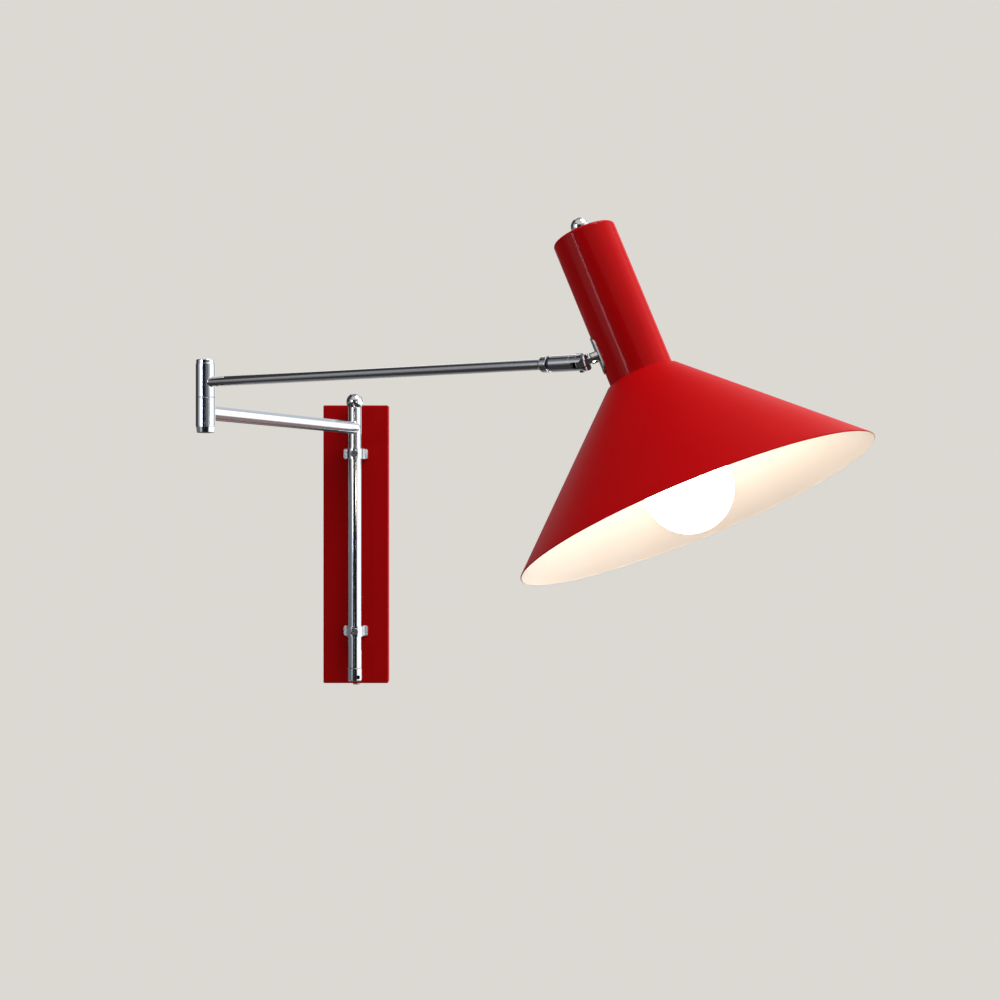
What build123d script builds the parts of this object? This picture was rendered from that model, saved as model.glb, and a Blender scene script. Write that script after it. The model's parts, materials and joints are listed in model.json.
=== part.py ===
from build123d import *
from math import atan2, cos, degrees, radians, sin, sqrt
import os

# Adjustable wall lamp: a painted wall plate, an upright tube turning in two clips,
# two jointed arms and a conical shade on a swivel.
# Millimetres. +Z is up, +X is to the right of a person facing the wall, +Y points into the wall.
# The origin is the middle of the mounting strap's back, on the wall.

# Driving dimensions

# Wall plate, a folded steel tray
plate_width = 65.0
plate_height = 278.0
plate_depth = 20.0
plate_sheet = 1.2
plate_edge_radius = 1.5

# Mounting strap behind the plate
strap_width = 30.0
strap_thickness = 3.0
strap_ear_depth = 15.0
wall_screw_spacing = 200.0
wall_screw_hole = 5.2
cover_screw_setback = 8.0

# Backing plate that stiffens the tray behind the clips
backing_width = 44.0
backing_thickness = 2.0
backing_margin = 20.0

# Upright tube, its ball and its end bush
rod_diameter = 13.0
rod_wall = 1.5
rod_stand_off = 14.0
rod_length = 259.1
rod_overhang = 20.4
ball_diameter = 17.2
spigot_length = 8.0
bush_diameter = 13.6
bush_length = 12.9
bush_bore = 6.0
bush_chamfer = 1.0
grip_screw_height = 4.0
grip_screw_turn = 33.0
grip_screw_diameter = 4.0
grip_screw_length = 3.0
grip_socket = 2.0

# Clips that hold the upright tube
upper_clip_drop = 25.7
lower_clip_rise = 36.5
clip_height = 10.0
clip_sheet = 1.5
clip_width = 24.0
clip_bend = 1.2
clip_ear_radius = 2.0
rest_reach = 4.5
rest_screw_bite = 4.5
rivet_diameter = 1.6
rivet_head_diameter = 2.6
rivet_head_height = 0.7
rivet_sink = 0.7

# Lower arm
arm_height = 116.0
lower_arm_diameter = 12.0
lower_arm_wall = 1.5
lower_arm_reach = 410.0
lower_arm_yaw = 13.75
cord_way = 4.6

# Elbow
elbow_diameter = 16.2
elbow_rise = 25.1
lower_barrel_length = 23.8
upper_barrel_length = 27.6
bottom_cap_height = 5.2
bottom_cap_taper = 1.0
top_cap_height = 3.3
cap_bevel = 0.8
friction_washer_thickness = 0.4
friction_washer_inset = 0.1
pivot_diameter = 8.0
pivot_bore = 5.0
pivot_head_diameter = 12.6
pivot_head_height = 2.0
elbow_shoulder = 3.0
elbow_barrel_wall = 1.75
pivot_nut_flats = 10.6
pivot_nut_height = 2.5
spring_washer_thickness = 0.6
cap_spigot_length = 2.0

# Upper arm and its swivel sleeve
upper_arm_diameter = 8.0
upper_arm_wall = 1.2
upper_arm_reach = 402.7
upper_arm_yaw = 42.05
swivel_diameter = 12.0
collar_length = 7.8
collar_taper = 2.0
collar_nose = 0.6
spacer_length = 2.8
spacer_wall = 1.0
sleeve_length = 18.6
sleeve_bearing = 8.0
sleeve_end_play = 0.1
sleeve_wall = 1.0
retainer_length = 2.0
retainer_wall = 0.7
arm_tail = 1.6
edge_break = 0.4

# Fork, tongue and stud of the tilting joint
fork_setback = 8.0
fork_plug_length = 5.0
fork_tip_radius = 5.8
tongue_radius = 5.0
tongue_thickness = 4.0
tongue_width = 8.0
tilt_screw_diameter = 4.0
tilt_head_diameter = 6.0
tilt_head_height = 1.4
tilt_seat = 5.2
tilt_washer_diameter = 9.0
tilt_washer_thickness = 0.5
collar_start = 7.3
stud_collar_diameter = 8.5
stud_diameter = 6.0
stud_nut_flats = 10.0
stud_nut_height = 4.0
stud_tail = 0.8
stud_washer_diameter = 11.0
stud_washer_thickness = 0.8

# Head: how the shade leans and how far it stands from the tilt screw
head_lean = 21.6
head_tip = 10.9
neck_stand_off = 12.7
saddle_thickness = 1.0
saddle_length = 28.0
saddle_width = 12.0
inner_saddle_diameter = 14.0
inner_saddle_thickness = 2.2

# Shade neck
neck_diameter = 46.5
neck_sheet = 0.8
neck_top = 87.1
neck_edge_radius = 2.0
neck_lip = 1.2
ball_nut_diameter = 14.0
ball_nut_rise = 6.0
ball_nut_base = 11.0
ball_nut_bore_depth = 8.0
nipple_diameter = 8.0
nipple_bore = 5.0
nipple_bite = 7.0
nipple_nut_flats = 13.0
nipple_nut_height = 4.0

# Shade cone
rim_diameter = 264.0
rim_drop = 128.4
cone_top_diameter = 52.0
cone_height = 103.3
cone_sheet = 0.8
rim_bead = 1.8
cone_shoulder_radius = 2.0

# Lampholder for a 27 mm screw cap
holder_diameter = 40.0
holder_flange_diameter = 43.5
holder_flange_height = 4.0
holder_wall = 3.0
holder_length = 46.0
holder_cap_height = 12.0
holder_boss_diameter = 16.0
holder_boss_height = 12.0
shade_ring_flange = 49.0
shade_ring_flange_height = 2.4
shade_ring_diameter = 45.6
shade_ring_height = 9.0
core_height = 18.0
screw_shell_wall = 0.5
contact_height = 1.2
contact_diameter = 9.0

# Bulb
globe_diameter = 63.0
globe_above_rim = 17.0
bulb_length = 98.0
bulb_neck_diameter = 25.0
bulb_shoulder_radius = 12.0
glass_thickness = 1.0
bulb_cap_diameter = 26.4
bulb_cap_length = 22.0
bulb_cap_sheet = 0.4
bulb_glass_bite = 4.0
insulator_diameter = 18.0
insulator_height = 2.0
bulb_contact_diameter = 9.0
bulb_contact_height = 1.1

# Screws of the wall plate and the clips
screw_diameter = 4.0
screw_head_diameter = 7.0
screw_head_height = 2.0
clip_screw_head_diameter = 7.6
screw_slot_width = 1.0
screw_slot_depth = 1.0
cross_slot_length = 5.4
cross_slot_turn = 45.0

# Clearances, each on the radius
running_gap = 0.05
seat_gap = 0.03
braze_gap = 0.03
screw_hole_gap = 0.15
free_gap = 0.3

# Places worked out from the driving dimensions

rod_radius = rod_diameter / 2
rod_y = -(plate_depth + rod_stand_off)
tube_top = arm_height + rod_overhang
tube_bottom = tube_top - rod_length
clip_heights = (arm_height - upper_clip_drop, tube_bottom + lower_clip_rise)
clip_spacing = clip_heights[0] - clip_heights[1]
clip_middle = (clip_heights[0] + clip_heights[1]) / 2
clip_bore = rod_radius + running_gap
clip_outside = clip_bore + clip_sheet
rivet_x = (clip_outside + clip_bend + clip_width / 2) / 2
rivet_flare = degrees(atan2(rivet_head_diameter - rivet_diameter, 2 * rivet_sink))
tray_inside = plate_depth - plate_sheet
backing_back = tray_inside - backing_thickness
strap_half = plate_height / 2 - plate_sheet

lower_arm_way = Vector(-sin(radians(lower_arm_yaw)), -cos(radians(lower_arm_yaw)), 0)
upper_arm_way = Vector(cos(radians(upper_arm_yaw)), -sin(radians(upper_arm_yaw)), 0)
rod_foot = Vector(0, rod_y, 0)
elbow_foot = rod_foot + lower_arm_way * lower_arm_reach
up = Vector(0, 0, 1)

upper_arm_height = arm_height + elbow_rise
elbow_split = arm_height + elbow_rise / 2
lower_barrel_top = elbow_split - friction_washer_thickness / 2
lower_barrel_bottom = lower_barrel_top - lower_barrel_length
upper_barrel_bottom = elbow_split + friction_washer_thickness / 2
upper_barrel_top = upper_barrel_bottom + upper_barrel_length
elbow_radius = elbow_diameter / 2
elbow_cavity = elbow_radius - elbow_barrel_wall
pivot_radius = pivot_diameter / 2
pivot_head_top = lower_barrel_bottom + pivot_head_height + free_gap
elbow_shoulder_top = upper_barrel_bottom + elbow_shoulder
pivot_nut_bottom = elbow_shoulder_top + spring_washer_thickness
pivot_top = pivot_nut_bottom + pivot_nut_height + free_gap

tilt_point = elbow_foot + upper_arm_way * upper_arm_reach + up * upper_arm_height
neck_way = Vector(
    -sin(radians(head_lean)) * cos(radians(head_tip)),
    sin(radians(head_tip)),
    cos(radians(head_lean)) * cos(radians(head_tip)),
)
stud_way = (Vector(1, 0, 0) - neck_way * neck_way.X).normalized()
tilt_way = upper_arm_way.cross(stud_way).normalized()
neck_radius = neck_diameter / 2
neck_offset = neck_stand_off + neck_radius
neck_foot = tilt_point + stud_way * neck_offset

upper_arm_radius = upper_arm_diameter / 2
swivel_radius = swivel_diameter / 2
fork_start = upper_arm_reach - fork_setback
sleeve_start = fork_start - sleeve_length
spacer_start = sleeve_start - spacer_length
collar_begin = spacer_start - collar_length
sleeve_cavity = swivel_radius - sleeve_wall
bearing_end = sleeve_start + sleeve_bearing
retainer_start = bearing_end + sleeve_end_play
upper_tube_end = retainer_start + retainer_length + arm_tail
slot_half = tongue_thickness / 2 + running_gap + tilt_washer_thickness
slot_floor = tongue_radius + 2 * free_gap
tilt_screw_radius = tilt_screw_diameter / 2
tilt_flat = tilt_head_diameter / cos(radians(30)) + 2 * free_gap
saddle_seat = neck_stand_off - saddle_thickness
inner_saddle_face = neck_stand_off + neck_sheet + inner_saddle_thickness
stud_nut_start = inner_saddle_face + stud_washer_thickness
stud_end = stud_nut_start + stud_nut_height + stud_tail
stud_radius = stud_diameter / 2

rim_radius = rim_diameter / 2
cone_top = cone_height - rim_drop
bead_radius = rim_bead / 2
bead_ring = rim_radius - bead_radius
bead_height = bead_radius - rim_drop
cone_slope = (bead_ring - cone_top_diameter / 2) / (cone_height - bead_radius)
cone_slant = sqrt(1 + cone_slope**2)
holder_radius = holder_diameter / 2
holder_flange_top = cone_top + holder_flange_height
holder_mouth = cone_top - holder_length
holder_bore = holder_radius - holder_wall
nipple_radius = nipple_diameter / 2
boss_top = holder_flange_top + holder_cap_height + holder_boss_height
globe_radius = globe_diameter / 2
globe_centre = globe_above_rim - rim_drop
bulb_tip = globe_centre - globe_radius + bulb_length
bulb_contact_bottom = bulb_tip - bulb_contact_height
bulb_cap_top = bulb_contact_bottom - insulator_height
bulb_cap_bottom = bulb_cap_top - bulb_cap_length
bulb_cap_radius = bulb_cap_diameter / 2
core_bottom = bulb_tip + contact_height
screw_shell_bore = bulb_cap_radius + free_gap


def turning_plane(foot, axis, radial):
    """A plane for a turned section: x runs out from the axis and y runs along it."""
    return Plane(origin=foot, x_dir=radial, z_dir=radial.cross(axis))


def arm_plane(foot, way, distance):
    """A plane square to an arm, at a distance from the arm's start, with x level."""
    return Plane(origin=foot + way * distance, x_dir=way.cross(up), z_dir=way)


rod_section = turning_plane(rod_foot, up, Vector(1, 0, 0))
rod_axis = Axis(rod_foot, up)
elbow_section = turning_plane(elbow_foot, up, Vector(1, 0, 0))
elbow_axis = Axis(elbow_foot, up)
neck_section = turning_plane(neck_foot, neck_way, stud_way)
neck_axis = Axis(neck_foot, neck_way)
lower_arm_start = rod_foot + up * arm_height
upper_arm_start = elbow_foot + up * upper_arm_height
swivel_section = turning_plane(upper_arm_start, upper_arm_way, up)
swivel_axis = Axis(upper_arm_start, upper_arm_way)
fork_side = Plane(origin=tilt_point, x_dir=upper_arm_way, z_dir=tilt_way)
tongue_side = Plane(origin=tilt_point, x_dir=stud_way, z_dir=tilt_way)
stud_face = Plane(origin=tilt_point, x_dir=neck_way, z_dir=stud_way)


# Mounting strap: flat on the wall, with an ear at each end for a cover screw
with BuildPart() as mounting_strap:
    with BuildSketch(Plane.YZ):
        Rectangle(strap_ear_depth, 2 * strap_half, align=(Align.MAX, Align.CENTER))
        with Locations((-strap_thickness, 0)):
            Rectangle(
                strap_ear_depth,
                2 * (strap_half - strap_thickness),
                align=(Align.MAX, Align.CENTER),
                mode=Mode.SUBTRACT,
            )
    extrude(amount=strap_width / 2, both=True)
    with BuildSketch(Plane.XZ):
        with GridLocations(0, wall_screw_spacing, 1, 2):
            Circle(wall_screw_hole / 2)
    extrude(amount=strap_thickness, mode=Mode.SUBTRACT)
    with BuildSketch(Plane.XY):
        with Locations((0, -cover_screw_setback)):
            Circle(screw_diameter / 2 + seat_gap)
    extrude(amount=plate_height, both=True, mode=Mode.SUBTRACT)
mounting_strap.part.label = "mounting_strap"

# Wall plate: a tray with rounded edges, open towards the wall
with BuildPart() as wall_plate:
    with BuildSketch(Plane.XZ):
        Rectangle(plate_width, plate_height)
    extrude(amount=plate_depth)
    fillet(wall_plate.edges().filter_by(lambda edge: edge.center().Y < 0), plate_edge_radius)
    with BuildSketch(Plane.XZ):
        Rectangle(plate_width - 2 * plate_sheet, plate_height - 2 * plate_sheet)
    extrude(amount=tray_inside, mode=Mode.SUBTRACT)
    with BuildSketch(Plane.XZ):
        for height in clip_heights:
            with Locations((-rivet_x, height), (rivet_x, height)):
                Circle(rivet_diameter / 2 + seat_gap)
            with Locations((0, height)):
                Circle(screw_diameter / 2 + screw_hole_gap)
    extrude(amount=plate_depth, mode=Mode.SUBTRACT)
    with BuildSketch(Plane.XY):
        with Locations((0, -cover_screw_setback)):
            Circle(screw_diameter / 2 + screw_hole_gap)
    extrude(amount=plate_height, both=True, mode=Mode.SUBTRACT)
wall_plate.part.label = "wall_plate"

# Backing plate: lies inside the tray behind both clips
with BuildPart() as backing_plate:
    with BuildSketch(Plane.XZ.offset(backing_back)):
        with Locations((0, clip_middle)):
            Rectangle(backing_width, clip_spacing + 2 * backing_margin)
        for height in clip_heights:
            with Locations((-rivet_x, height), (rivet_x, height)):
                Circle(rivet_diameter / 2 + seat_gap, mode=Mode.SUBTRACT)
            with Locations((0, height)):
                Circle(screw_diameter / 2 + screw_hole_gap, mode=Mode.SUBTRACT)
    extrude(amount=backing_thickness)
backing_plate.part.label = "backing_plate"

# Cover screws: one through the tray's top and one through its bottom, into the strap's ears
with BuildPart() as cover_screws:
    for side in (1, -1):
        seat = Plane(origin=(0, -cover_screw_setback, side * plate_height / 2), z_dir=(0, 0, side))
        with BuildSketch(seat):
            Circle(screw_head_diameter / 2)
        extrude(amount=screw_head_height)
        with BuildSketch(seat):
            Circle(screw_diameter / 2)
        extrude(amount=-(plate_sheet + strap_thickness))
        with BuildSketch(seat.offset(screw_head_height)):
            Rectangle(screw_head_diameter, screw_slot_width)
        extrude(amount=-screw_slot_depth, mode=Mode.SUBTRACT)
cover_screws.part.label = "cover_screws"


def make_clip(height):
    """A saddle of strip round the upright tube, with an ear each side flat on the plate."""
    with BuildPart() as clip:
        with BuildSketch(Plane.XY.offset(height - clip_height / 2)):
            with BuildLine():
                ear_front = -(plate_depth + clip_sheet)
                Polyline(
                    (-clip_outside, rod_y),
                    (-clip_outside, ear_front),
                    (-clip_width / 2, ear_front),
                    (-clip_width / 2, -plate_depth),
                    (-clip_bore, -plate_depth),
                    (-clip_bore, rod_y),
                )
                ThreePointArc((-clip_bore, rod_y), (0, rod_y - clip_bore), (clip_bore, rod_y))
                Polyline(
                    (clip_bore, rod_y),
                    (clip_bore, -plate_depth),
                    (clip_width / 2, -plate_depth),
                    (clip_width / 2, ear_front),
                    (clip_outside, ear_front),
                    (clip_outside, rod_y),
                )
                ThreePointArc((clip_outside, rod_y), (0, rod_y - clip_outside), (-clip_outside, rod_y))
            make_face()
        extrude(amount=clip_height)
        bends = clip.edges().filter_by(Axis.Z)
        bends = bends.filter_by(lambda edge: abs(edge.center().Y - ear_front) < seat_gap)
        fillet(bends.sort_by(lambda edge: abs(edge.center().X))[:2], clip_bend)
        corners = clip.edges().filter_by(Axis.Y)
        corners = corners.filter_by(lambda edge: abs(edge.center().X) > rivet_x)
        fillet(corners, clip_ear_radius)
        with BuildSketch(Plane.XZ):
            with Locations((-rivet_x, height), (rivet_x, height)):
                Circle(rivet_diameter / 2 + seat_gap)
        extrude(amount=plate_depth + 2 * clip_sheet, mode=Mode.SUBTRACT)
        with BuildSketch(Plane.XZ.offset(plate_depth + clip_sheet)):
            with Locations((-rivet_x, height), (rivet_x, height)):
                Circle(rivet_head_diameter / 2 + seat_gap)
        extrude(amount=-rivet_sink, taper=rivet_flare, mode=Mode.SUBTRACT)
        with BuildSketch(Plane.XZ.offset(-rod_y)):
            with Locations((0, height)):
                Circle(screw_diameter / 2 + seat_gap)
        extrude(amount=rod_diameter, mode=Mode.SUBTRACT)
    return clip


# Clips: the upper and the lower one are alike
upper_clip = make_clip(clip_heights[0])
upper_clip.part.label = "upper_clip"
lower_clip = make_clip(clip_heights[1])
lower_clip.part.label = "lower_clip"

# Clip rivets: through the ears, the tray and the backing plate, flush in front and domed behind
with BuildPart() as clip_rivets:
    rivet_front = plate_depth + clip_sheet
    for height in clip_heights:
        for side in (-1, 1):
            foot = Vector(side * rivet_x, 0, height)
            with BuildSketch(turning_plane(foot, Vector(0, -1, 0), Vector(1, 0, 0))):
                with BuildLine():
                    head_radius = rivet_head_diameter / 2
                    shank_radius = rivet_diameter / 2
                    Polyline(
                        (0, rivet_front),
                        (head_radius, rivet_front),
                        (shank_radius, rivet_front - rivet_sink),
                        (shank_radius, backing_back),
                        (head_radius, backing_back),
                    )
                    RadiusArc(
                        (head_radius, backing_back),
                        (0, backing_back - rivet_head_height),
                        (head_radius**2 + rivet_head_height**2) / (2 * rivet_head_height),
                    )
                    Line((0, backing_back - rivet_head_height), (0, rivet_front))
                make_face()
            revolve(axis=Axis(foot, (0, -1, 0)))
clip_rivets.part.label = "clip_rivets"


def make_rod_rest(height):
    """A nylon block between a clip's legs, hollowed to bear the back of the upright tube."""
    with BuildPart() as rest:
        with BuildSketch(Plane.XY.offset(height - clip_height / 2)):
            with Locations((0, -plate_depth)):
                Rectangle(
                    2 * (clip_bore - seat_gap),
                    rod_stand_off - rest_reach,
                    align=(Align.CENTER, Align.MAX),
                )
            with Locations((0, rod_y)):
                Circle(clip_bore, mode=Mode.SUBTRACT)
        extrude(amount=clip_height)
        with BuildSketch(Plane.XZ.offset(plate_depth)):
            with Locations((0, height)):
                Circle(screw_diameter / 2 + seat_gap)
        extrude(amount=rest_screw_bite + free_gap, mode=Mode.SUBTRACT)
    return rest


# Rod rests: one behind the tube at each clip
upper_rod_rest = make_rod_rest(clip_heights[0])
upper_rod_rest.part.label = "upper_rod_rest"
lower_rod_rest = make_rod_rest(clip_heights[1])
lower_rod_rest.part.label = "lower_rod_rest"

# Rest screws: from behind the backing plate into the rod rests
with BuildPart() as rest_screws:
    for height in clip_heights:
        seat = Plane(origin=(0, -backing_back, height), x_dir=(1, 0, 0), z_dir=(0, 1, 0))
        with BuildSketch(seat):
            Circle(screw_head_diameter / 2)
        extrude(amount=screw_head_height)
        with BuildSketch(seat):
            Circle(screw_diameter / 2)
        extrude(amount=-(backing_thickness + plate_sheet + rest_screw_bite))
        with BuildSketch(seat.offset(screw_head_height)):
            Rectangle(screw_head_diameter, screw_slot_width)
        extrude(amount=-screw_slot_depth, mode=Mode.SUBTRACT)
rest_screws.part.label = "rest_screws"

# Friction screws: through the front of each clip, bearing on the tube so that it turns stiffly
with BuildPart() as friction_screws:
    for height in clip_heights:
        seat = Plane(origin=(0, rod_y - clip_outside, height), x_dir=(1, 0, 0), z_dir=(0, -1, 0))
        with BuildSketch(seat):
            Circle(clip_screw_head_diameter / 2)
        extrude(amount=screw_head_height)
        with BuildSketch(seat):
            Circle(screw_diameter / 2)
        extrude(amount=-clip_sheet)
        with BuildSketch(seat.offset(screw_head_height)):
            for turn in (cross_slot_turn, -cross_slot_turn):
                Rectangle(cross_slot_length, screw_slot_width, rotation=turn)
        extrude(amount=-screw_slot_depth, mode=Mode.SUBTRACT)
friction_screws.part.label = "friction_screws"

# Upright tube, with a hole for the cord at the lower arm
with BuildPart() as upright_tube:
    with BuildSketch(Plane(origin=rod_foot + up * tube_bottom)):
        Circle(rod_radius)
        Circle(rod_radius - rod_wall, mode=Mode.SUBTRACT)
    extrude(amount=rod_length)
    with BuildSketch(arm_plane(lower_arm_start, lower_arm_way, 0)):
        Circle(cord_way / 2)
    extrude(amount=rod_diameter, mode=Mode.SUBTRACT)
upright_tube.part.label = "upright_tube"

# Ball finial: sits on the tube's top end with a spigot inside it
with BuildPart() as ball_finial:
    ball_radius = ball_diameter / 2
    ball_centre = tube_top + sqrt(ball_radius**2 - rod_radius**2)
    with BuildSketch(rod_section):
        with BuildLine():
            spigot_radius = rod_radius - rod_wall - seat_gap
            ThreePointArc((0, ball_centre + ball_radius), (ball_radius, ball_centre), (rod_radius, tube_top))
            Polyline(
                (rod_radius, tube_top),
                (spigot_radius, tube_top),
                (spigot_radius, tube_top - spigot_length),
                (0, tube_top - spigot_length),
                (0, ball_centre + ball_radius),
            )
        make_face()
    revolve(axis=rod_axis)
ball_finial.part.label = "ball_finial"

# End bush: the cord's gland at the tube's bottom end, with a cross hole for the grip screw
bush_bottom = tube_bottom - bush_length
grip_way = Vector(sin(radians(grip_screw_turn)), -cos(radians(grip_screw_turn)), 0)
grip_foot = rod_foot + up * (bush_bottom + grip_screw_height)
grip_recess = bush_diameter / 2 - bush_bore / 2 - grip_screw_length
with BuildPart() as end_bush:
    with BuildSketch(rod_section):
        with BuildLine():
            Polyline(
                (bush_bore / 2, bush_bottom),
                (bush_diameter / 2 - bush_chamfer, bush_bottom),
                (bush_diameter / 2, bush_bottom + bush_chamfer),
                (bush_diameter / 2, tube_bottom - edge_break),
                (bush_diameter / 2 - edge_break, tube_bottom),
                (rod_radius - rod_wall - seat_gap, tube_bottom),
                (rod_radius - rod_wall - seat_gap, tube_bottom + spigot_length),
                (bush_bore / 2, tube_bottom + spigot_length),
                close=True,
            )
        make_face()
    revolve(axis=rod_axis)
    with BuildSketch(arm_plane(grip_foot, grip_way, 0)):
        Circle(grip_screw_diameter / 2 + seat_gap)
    extrude(amount=bush_diameter, mode=Mode.SUBTRACT)
end_bush.part.label = "end_bush"

# Grip screw: a headless screw with a hexagon socket in the end bush
with BuildPart() as grip_screw:
    grip_face = arm_plane(grip_foot, grip_way, bush_diameter / 2 - grip_recess)
    with BuildSketch(grip_face):
        Circle(grip_screw_diameter / 2)
    extrude(amount=-grip_screw_length)
    with BuildSketch(grip_face):
        RegularPolygon(grip_socket / 2, 6, major_radius=False)
    extrude(amount=-grip_screw_length / 2, mode=Mode.SUBTRACT)
grip_screw.part.label = "grip_screw"

# Lower arm tube: shaped at both ends to sit on the upright tube and on the elbow barrel
with BuildPart() as lower_arm_tube:
    with BuildSketch(arm_plane(lower_arm_start, lower_arm_way, 0)):
        Circle(lower_arm_diameter / 2)
        Circle(lower_arm_diameter / 2 - lower_arm_wall, mode=Mode.SUBTRACT)
    extrude(amount=lower_arm_reach)
    with BuildSketch(Plane(origin=lower_arm_start)):
        Circle(rod_radius + braze_gap)
    extrude(amount=lower_arm_diameter, both=True, mode=Mode.SUBTRACT)
    with BuildSketch(Plane(origin=elbow_foot + up * arm_height)):
        Circle(elbow_radius + braze_gap)
    extrude(amount=lower_arm_diameter, both=True, mode=Mode.SUBTRACT)
lower_arm_tube.part.label = "lower_arm_tube"

# Elbow lower barrel: bored for the pivot, recessed below for the pivot's head
with BuildPart() as elbow_lower_barrel:
    with BuildSketch(elbow_section):
        with BuildLine():
            recess_radius = pivot_head_diameter / 2 + seat_gap
            Polyline(
                (recess_radius, lower_barrel_bottom),
                (elbow_radius, lower_barrel_bottom),
                (elbow_radius, lower_barrel_top),
                (pivot_radius + seat_gap, lower_barrel_top),
                (pivot_radius + seat_gap, pivot_head_top),
                (recess_radius, pivot_head_top),
                close=True,
            )
        make_face()
    revolve(axis=elbow_axis)
    with BuildSketch(arm_plane(elbow_foot + up * arm_height, -lower_arm_way, 0)):
        Circle(cord_way / 2)
    extrude(amount=elbow_diameter, mode=Mode.SUBTRACT)
elbow_lower_barrel.part.label = "elbow_lower_barrel"

# Elbow pivot: a hollow bolt fixed in the lower barrel, open at the side for the cord
with BuildPart() as elbow_pivot:
    with BuildSketch(elbow_section):
        with BuildLine():
            Polyline(
                (pivot_bore / 2, pivot_head_top - pivot_head_height),
                (pivot_head_diameter / 2, pivot_head_top - pivot_head_height),
                (pivot_head_diameter / 2, pivot_head_top),
                (pivot_radius, pivot_head_top),
                (pivot_radius, pivot_top),
                (pivot_bore / 2, pivot_top),
                close=True,
            )
        make_face()
    revolve(axis=elbow_axis)
    with BuildSketch(arm_plane(elbow_foot + up * arm_height, -lower_arm_way, 0)):
        Circle(cord_way / 2)
    extrude(amount=pivot_diameter, mode=Mode.SUBTRACT)
elbow_pivot.part.label = "elbow_pivot"

# Elbow bottom cap: a tapered plug with a spigot in the pivot's bore
with BuildPart() as elbow_bottom_cap:
    with BuildSketch(elbow_section):
        with BuildLine():
            cap_bottom = lower_barrel_bottom - bottom_cap_height
            plug_radius = pivot_bore / 2 - seat_gap
            plug_top = pivot_head_top + cap_spigot_length
            Polyline(
                (0, cap_bottom),
                (elbow_radius - bottom_cap_taper - cap_bevel, cap_bottom),
                (elbow_radius - bottom_cap_taper, cap_bottom + cap_bevel),
                (elbow_radius - edge_break, lower_barrel_bottom - edge_break),
                (elbow_radius - edge_break, lower_barrel_bottom),
                (plug_radius, lower_barrel_bottom),
                (plug_radius, plug_top),
                (0, plug_top),
                close=True,
            )
        make_face()
    revolve(axis=elbow_axis)
elbow_bottom_cap.part.label = "elbow_bottom_cap"

# Elbow friction washer: a thin ring between the two barrels
with BuildPart() as elbow_friction_washer:
    with BuildSketch(Plane(origin=elbow_foot + up * lower_barrel_top)):
        Circle(elbow_radius - friction_washer_inset)
        Circle(pivot_radius + running_gap, mode=Mode.SUBTRACT)
    extrude(amount=friction_washer_thickness)
elbow_friction_washer.part.label = "elbow_friction_washer"

# Elbow spring washer: under the pivot nut
with BuildPart() as elbow_spring_washer:
    with BuildSketch(Plane(origin=elbow_foot + up * elbow_shoulder_top)):
        Circle(elbow_cavity - 2 * free_gap)
        Circle(pivot_radius + running_gap, mode=Mode.SUBTRACT)
    extrude(amount=spring_washer_thickness)
elbow_spring_washer.part.label = "elbow_spring_washer"

# Elbow pivot nut: holds the upper barrel down on the friction washer
with BuildPart() as elbow_pivot_nut:
    with BuildSketch(Plane(origin=elbow_foot + up * pivot_nut_bottom)):
        RegularPolygon(pivot_nut_flats / 2, 6, major_radius=False)
        Circle(pivot_radius + seat_gap, mode=Mode.SUBTRACT)
    extrude(amount=pivot_nut_height)
elbow_pivot_nut.part.label = "elbow_pivot_nut"

# Elbow upper barrel: turns on the pivot, hollow above its shoulder for the nut and the cord
with BuildPart() as elbow_upper_barrel:
    with BuildSketch(elbow_section):
        with BuildLine():
            Polyline(
                (pivot_radius + running_gap, upper_barrel_bottom),
                (elbow_radius, upper_barrel_bottom),
                (elbow_radius, upper_barrel_top),
                (elbow_cavity, upper_barrel_top),
                (elbow_cavity, elbow_shoulder_top),
                (pivot_radius + running_gap, elbow_shoulder_top),
                close=True,
            )
        make_face()
    revolve(axis=elbow_axis)
    with BuildSketch(arm_plane(upper_arm_start, upper_arm_way, 0)):
        Circle(cord_way / 2)
    extrude(amount=elbow_diameter, mode=Mode.SUBTRACT)
elbow_upper_barrel.part.label = "elbow_upper_barrel"

# Elbow top cap: a bevelled plug in the upper barrel
with BuildPart() as elbow_top_cap:
    with BuildSketch(elbow_section):
        with BuildLine():
            cap_top = upper_barrel_top + top_cap_height
            Polyline(
                (0, upper_barrel_top - cap_spigot_length),
                (elbow_cavity - seat_gap, upper_barrel_top - cap_spigot_length),
                (elbow_cavity - seat_gap, upper_barrel_top),
                (elbow_radius - edge_break, upper_barrel_top),
                (elbow_radius - edge_break, cap_top - cap_bevel),
                (elbow_radius - edge_break - cap_bevel, cap_top),
                (0, cap_top),
                close=True,
            )
        make_face()
    revolve(axis=elbow_axis)
elbow_top_cap.part.label = "elbow_top_cap"

# Upper arm tube: shaped to sit on the elbow, its plain end carries the swivel sleeve
with BuildPart() as upper_arm_tube:
    with BuildSketch(arm_plane(upper_arm_start, upper_arm_way, 0)):
        Circle(upper_arm_radius)
        Circle(upper_arm_radius - upper_arm_wall, mode=Mode.SUBTRACT)
    extrude(amount=upper_tube_end)
    with BuildSketch(Plane(origin=upper_arm_start)):
        Circle(elbow_radius + braze_gap)
    extrude(amount=upper_arm_diameter, both=True, mode=Mode.SUBTRACT)
upper_arm_tube.part.label = "upper_arm_tube"

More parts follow.
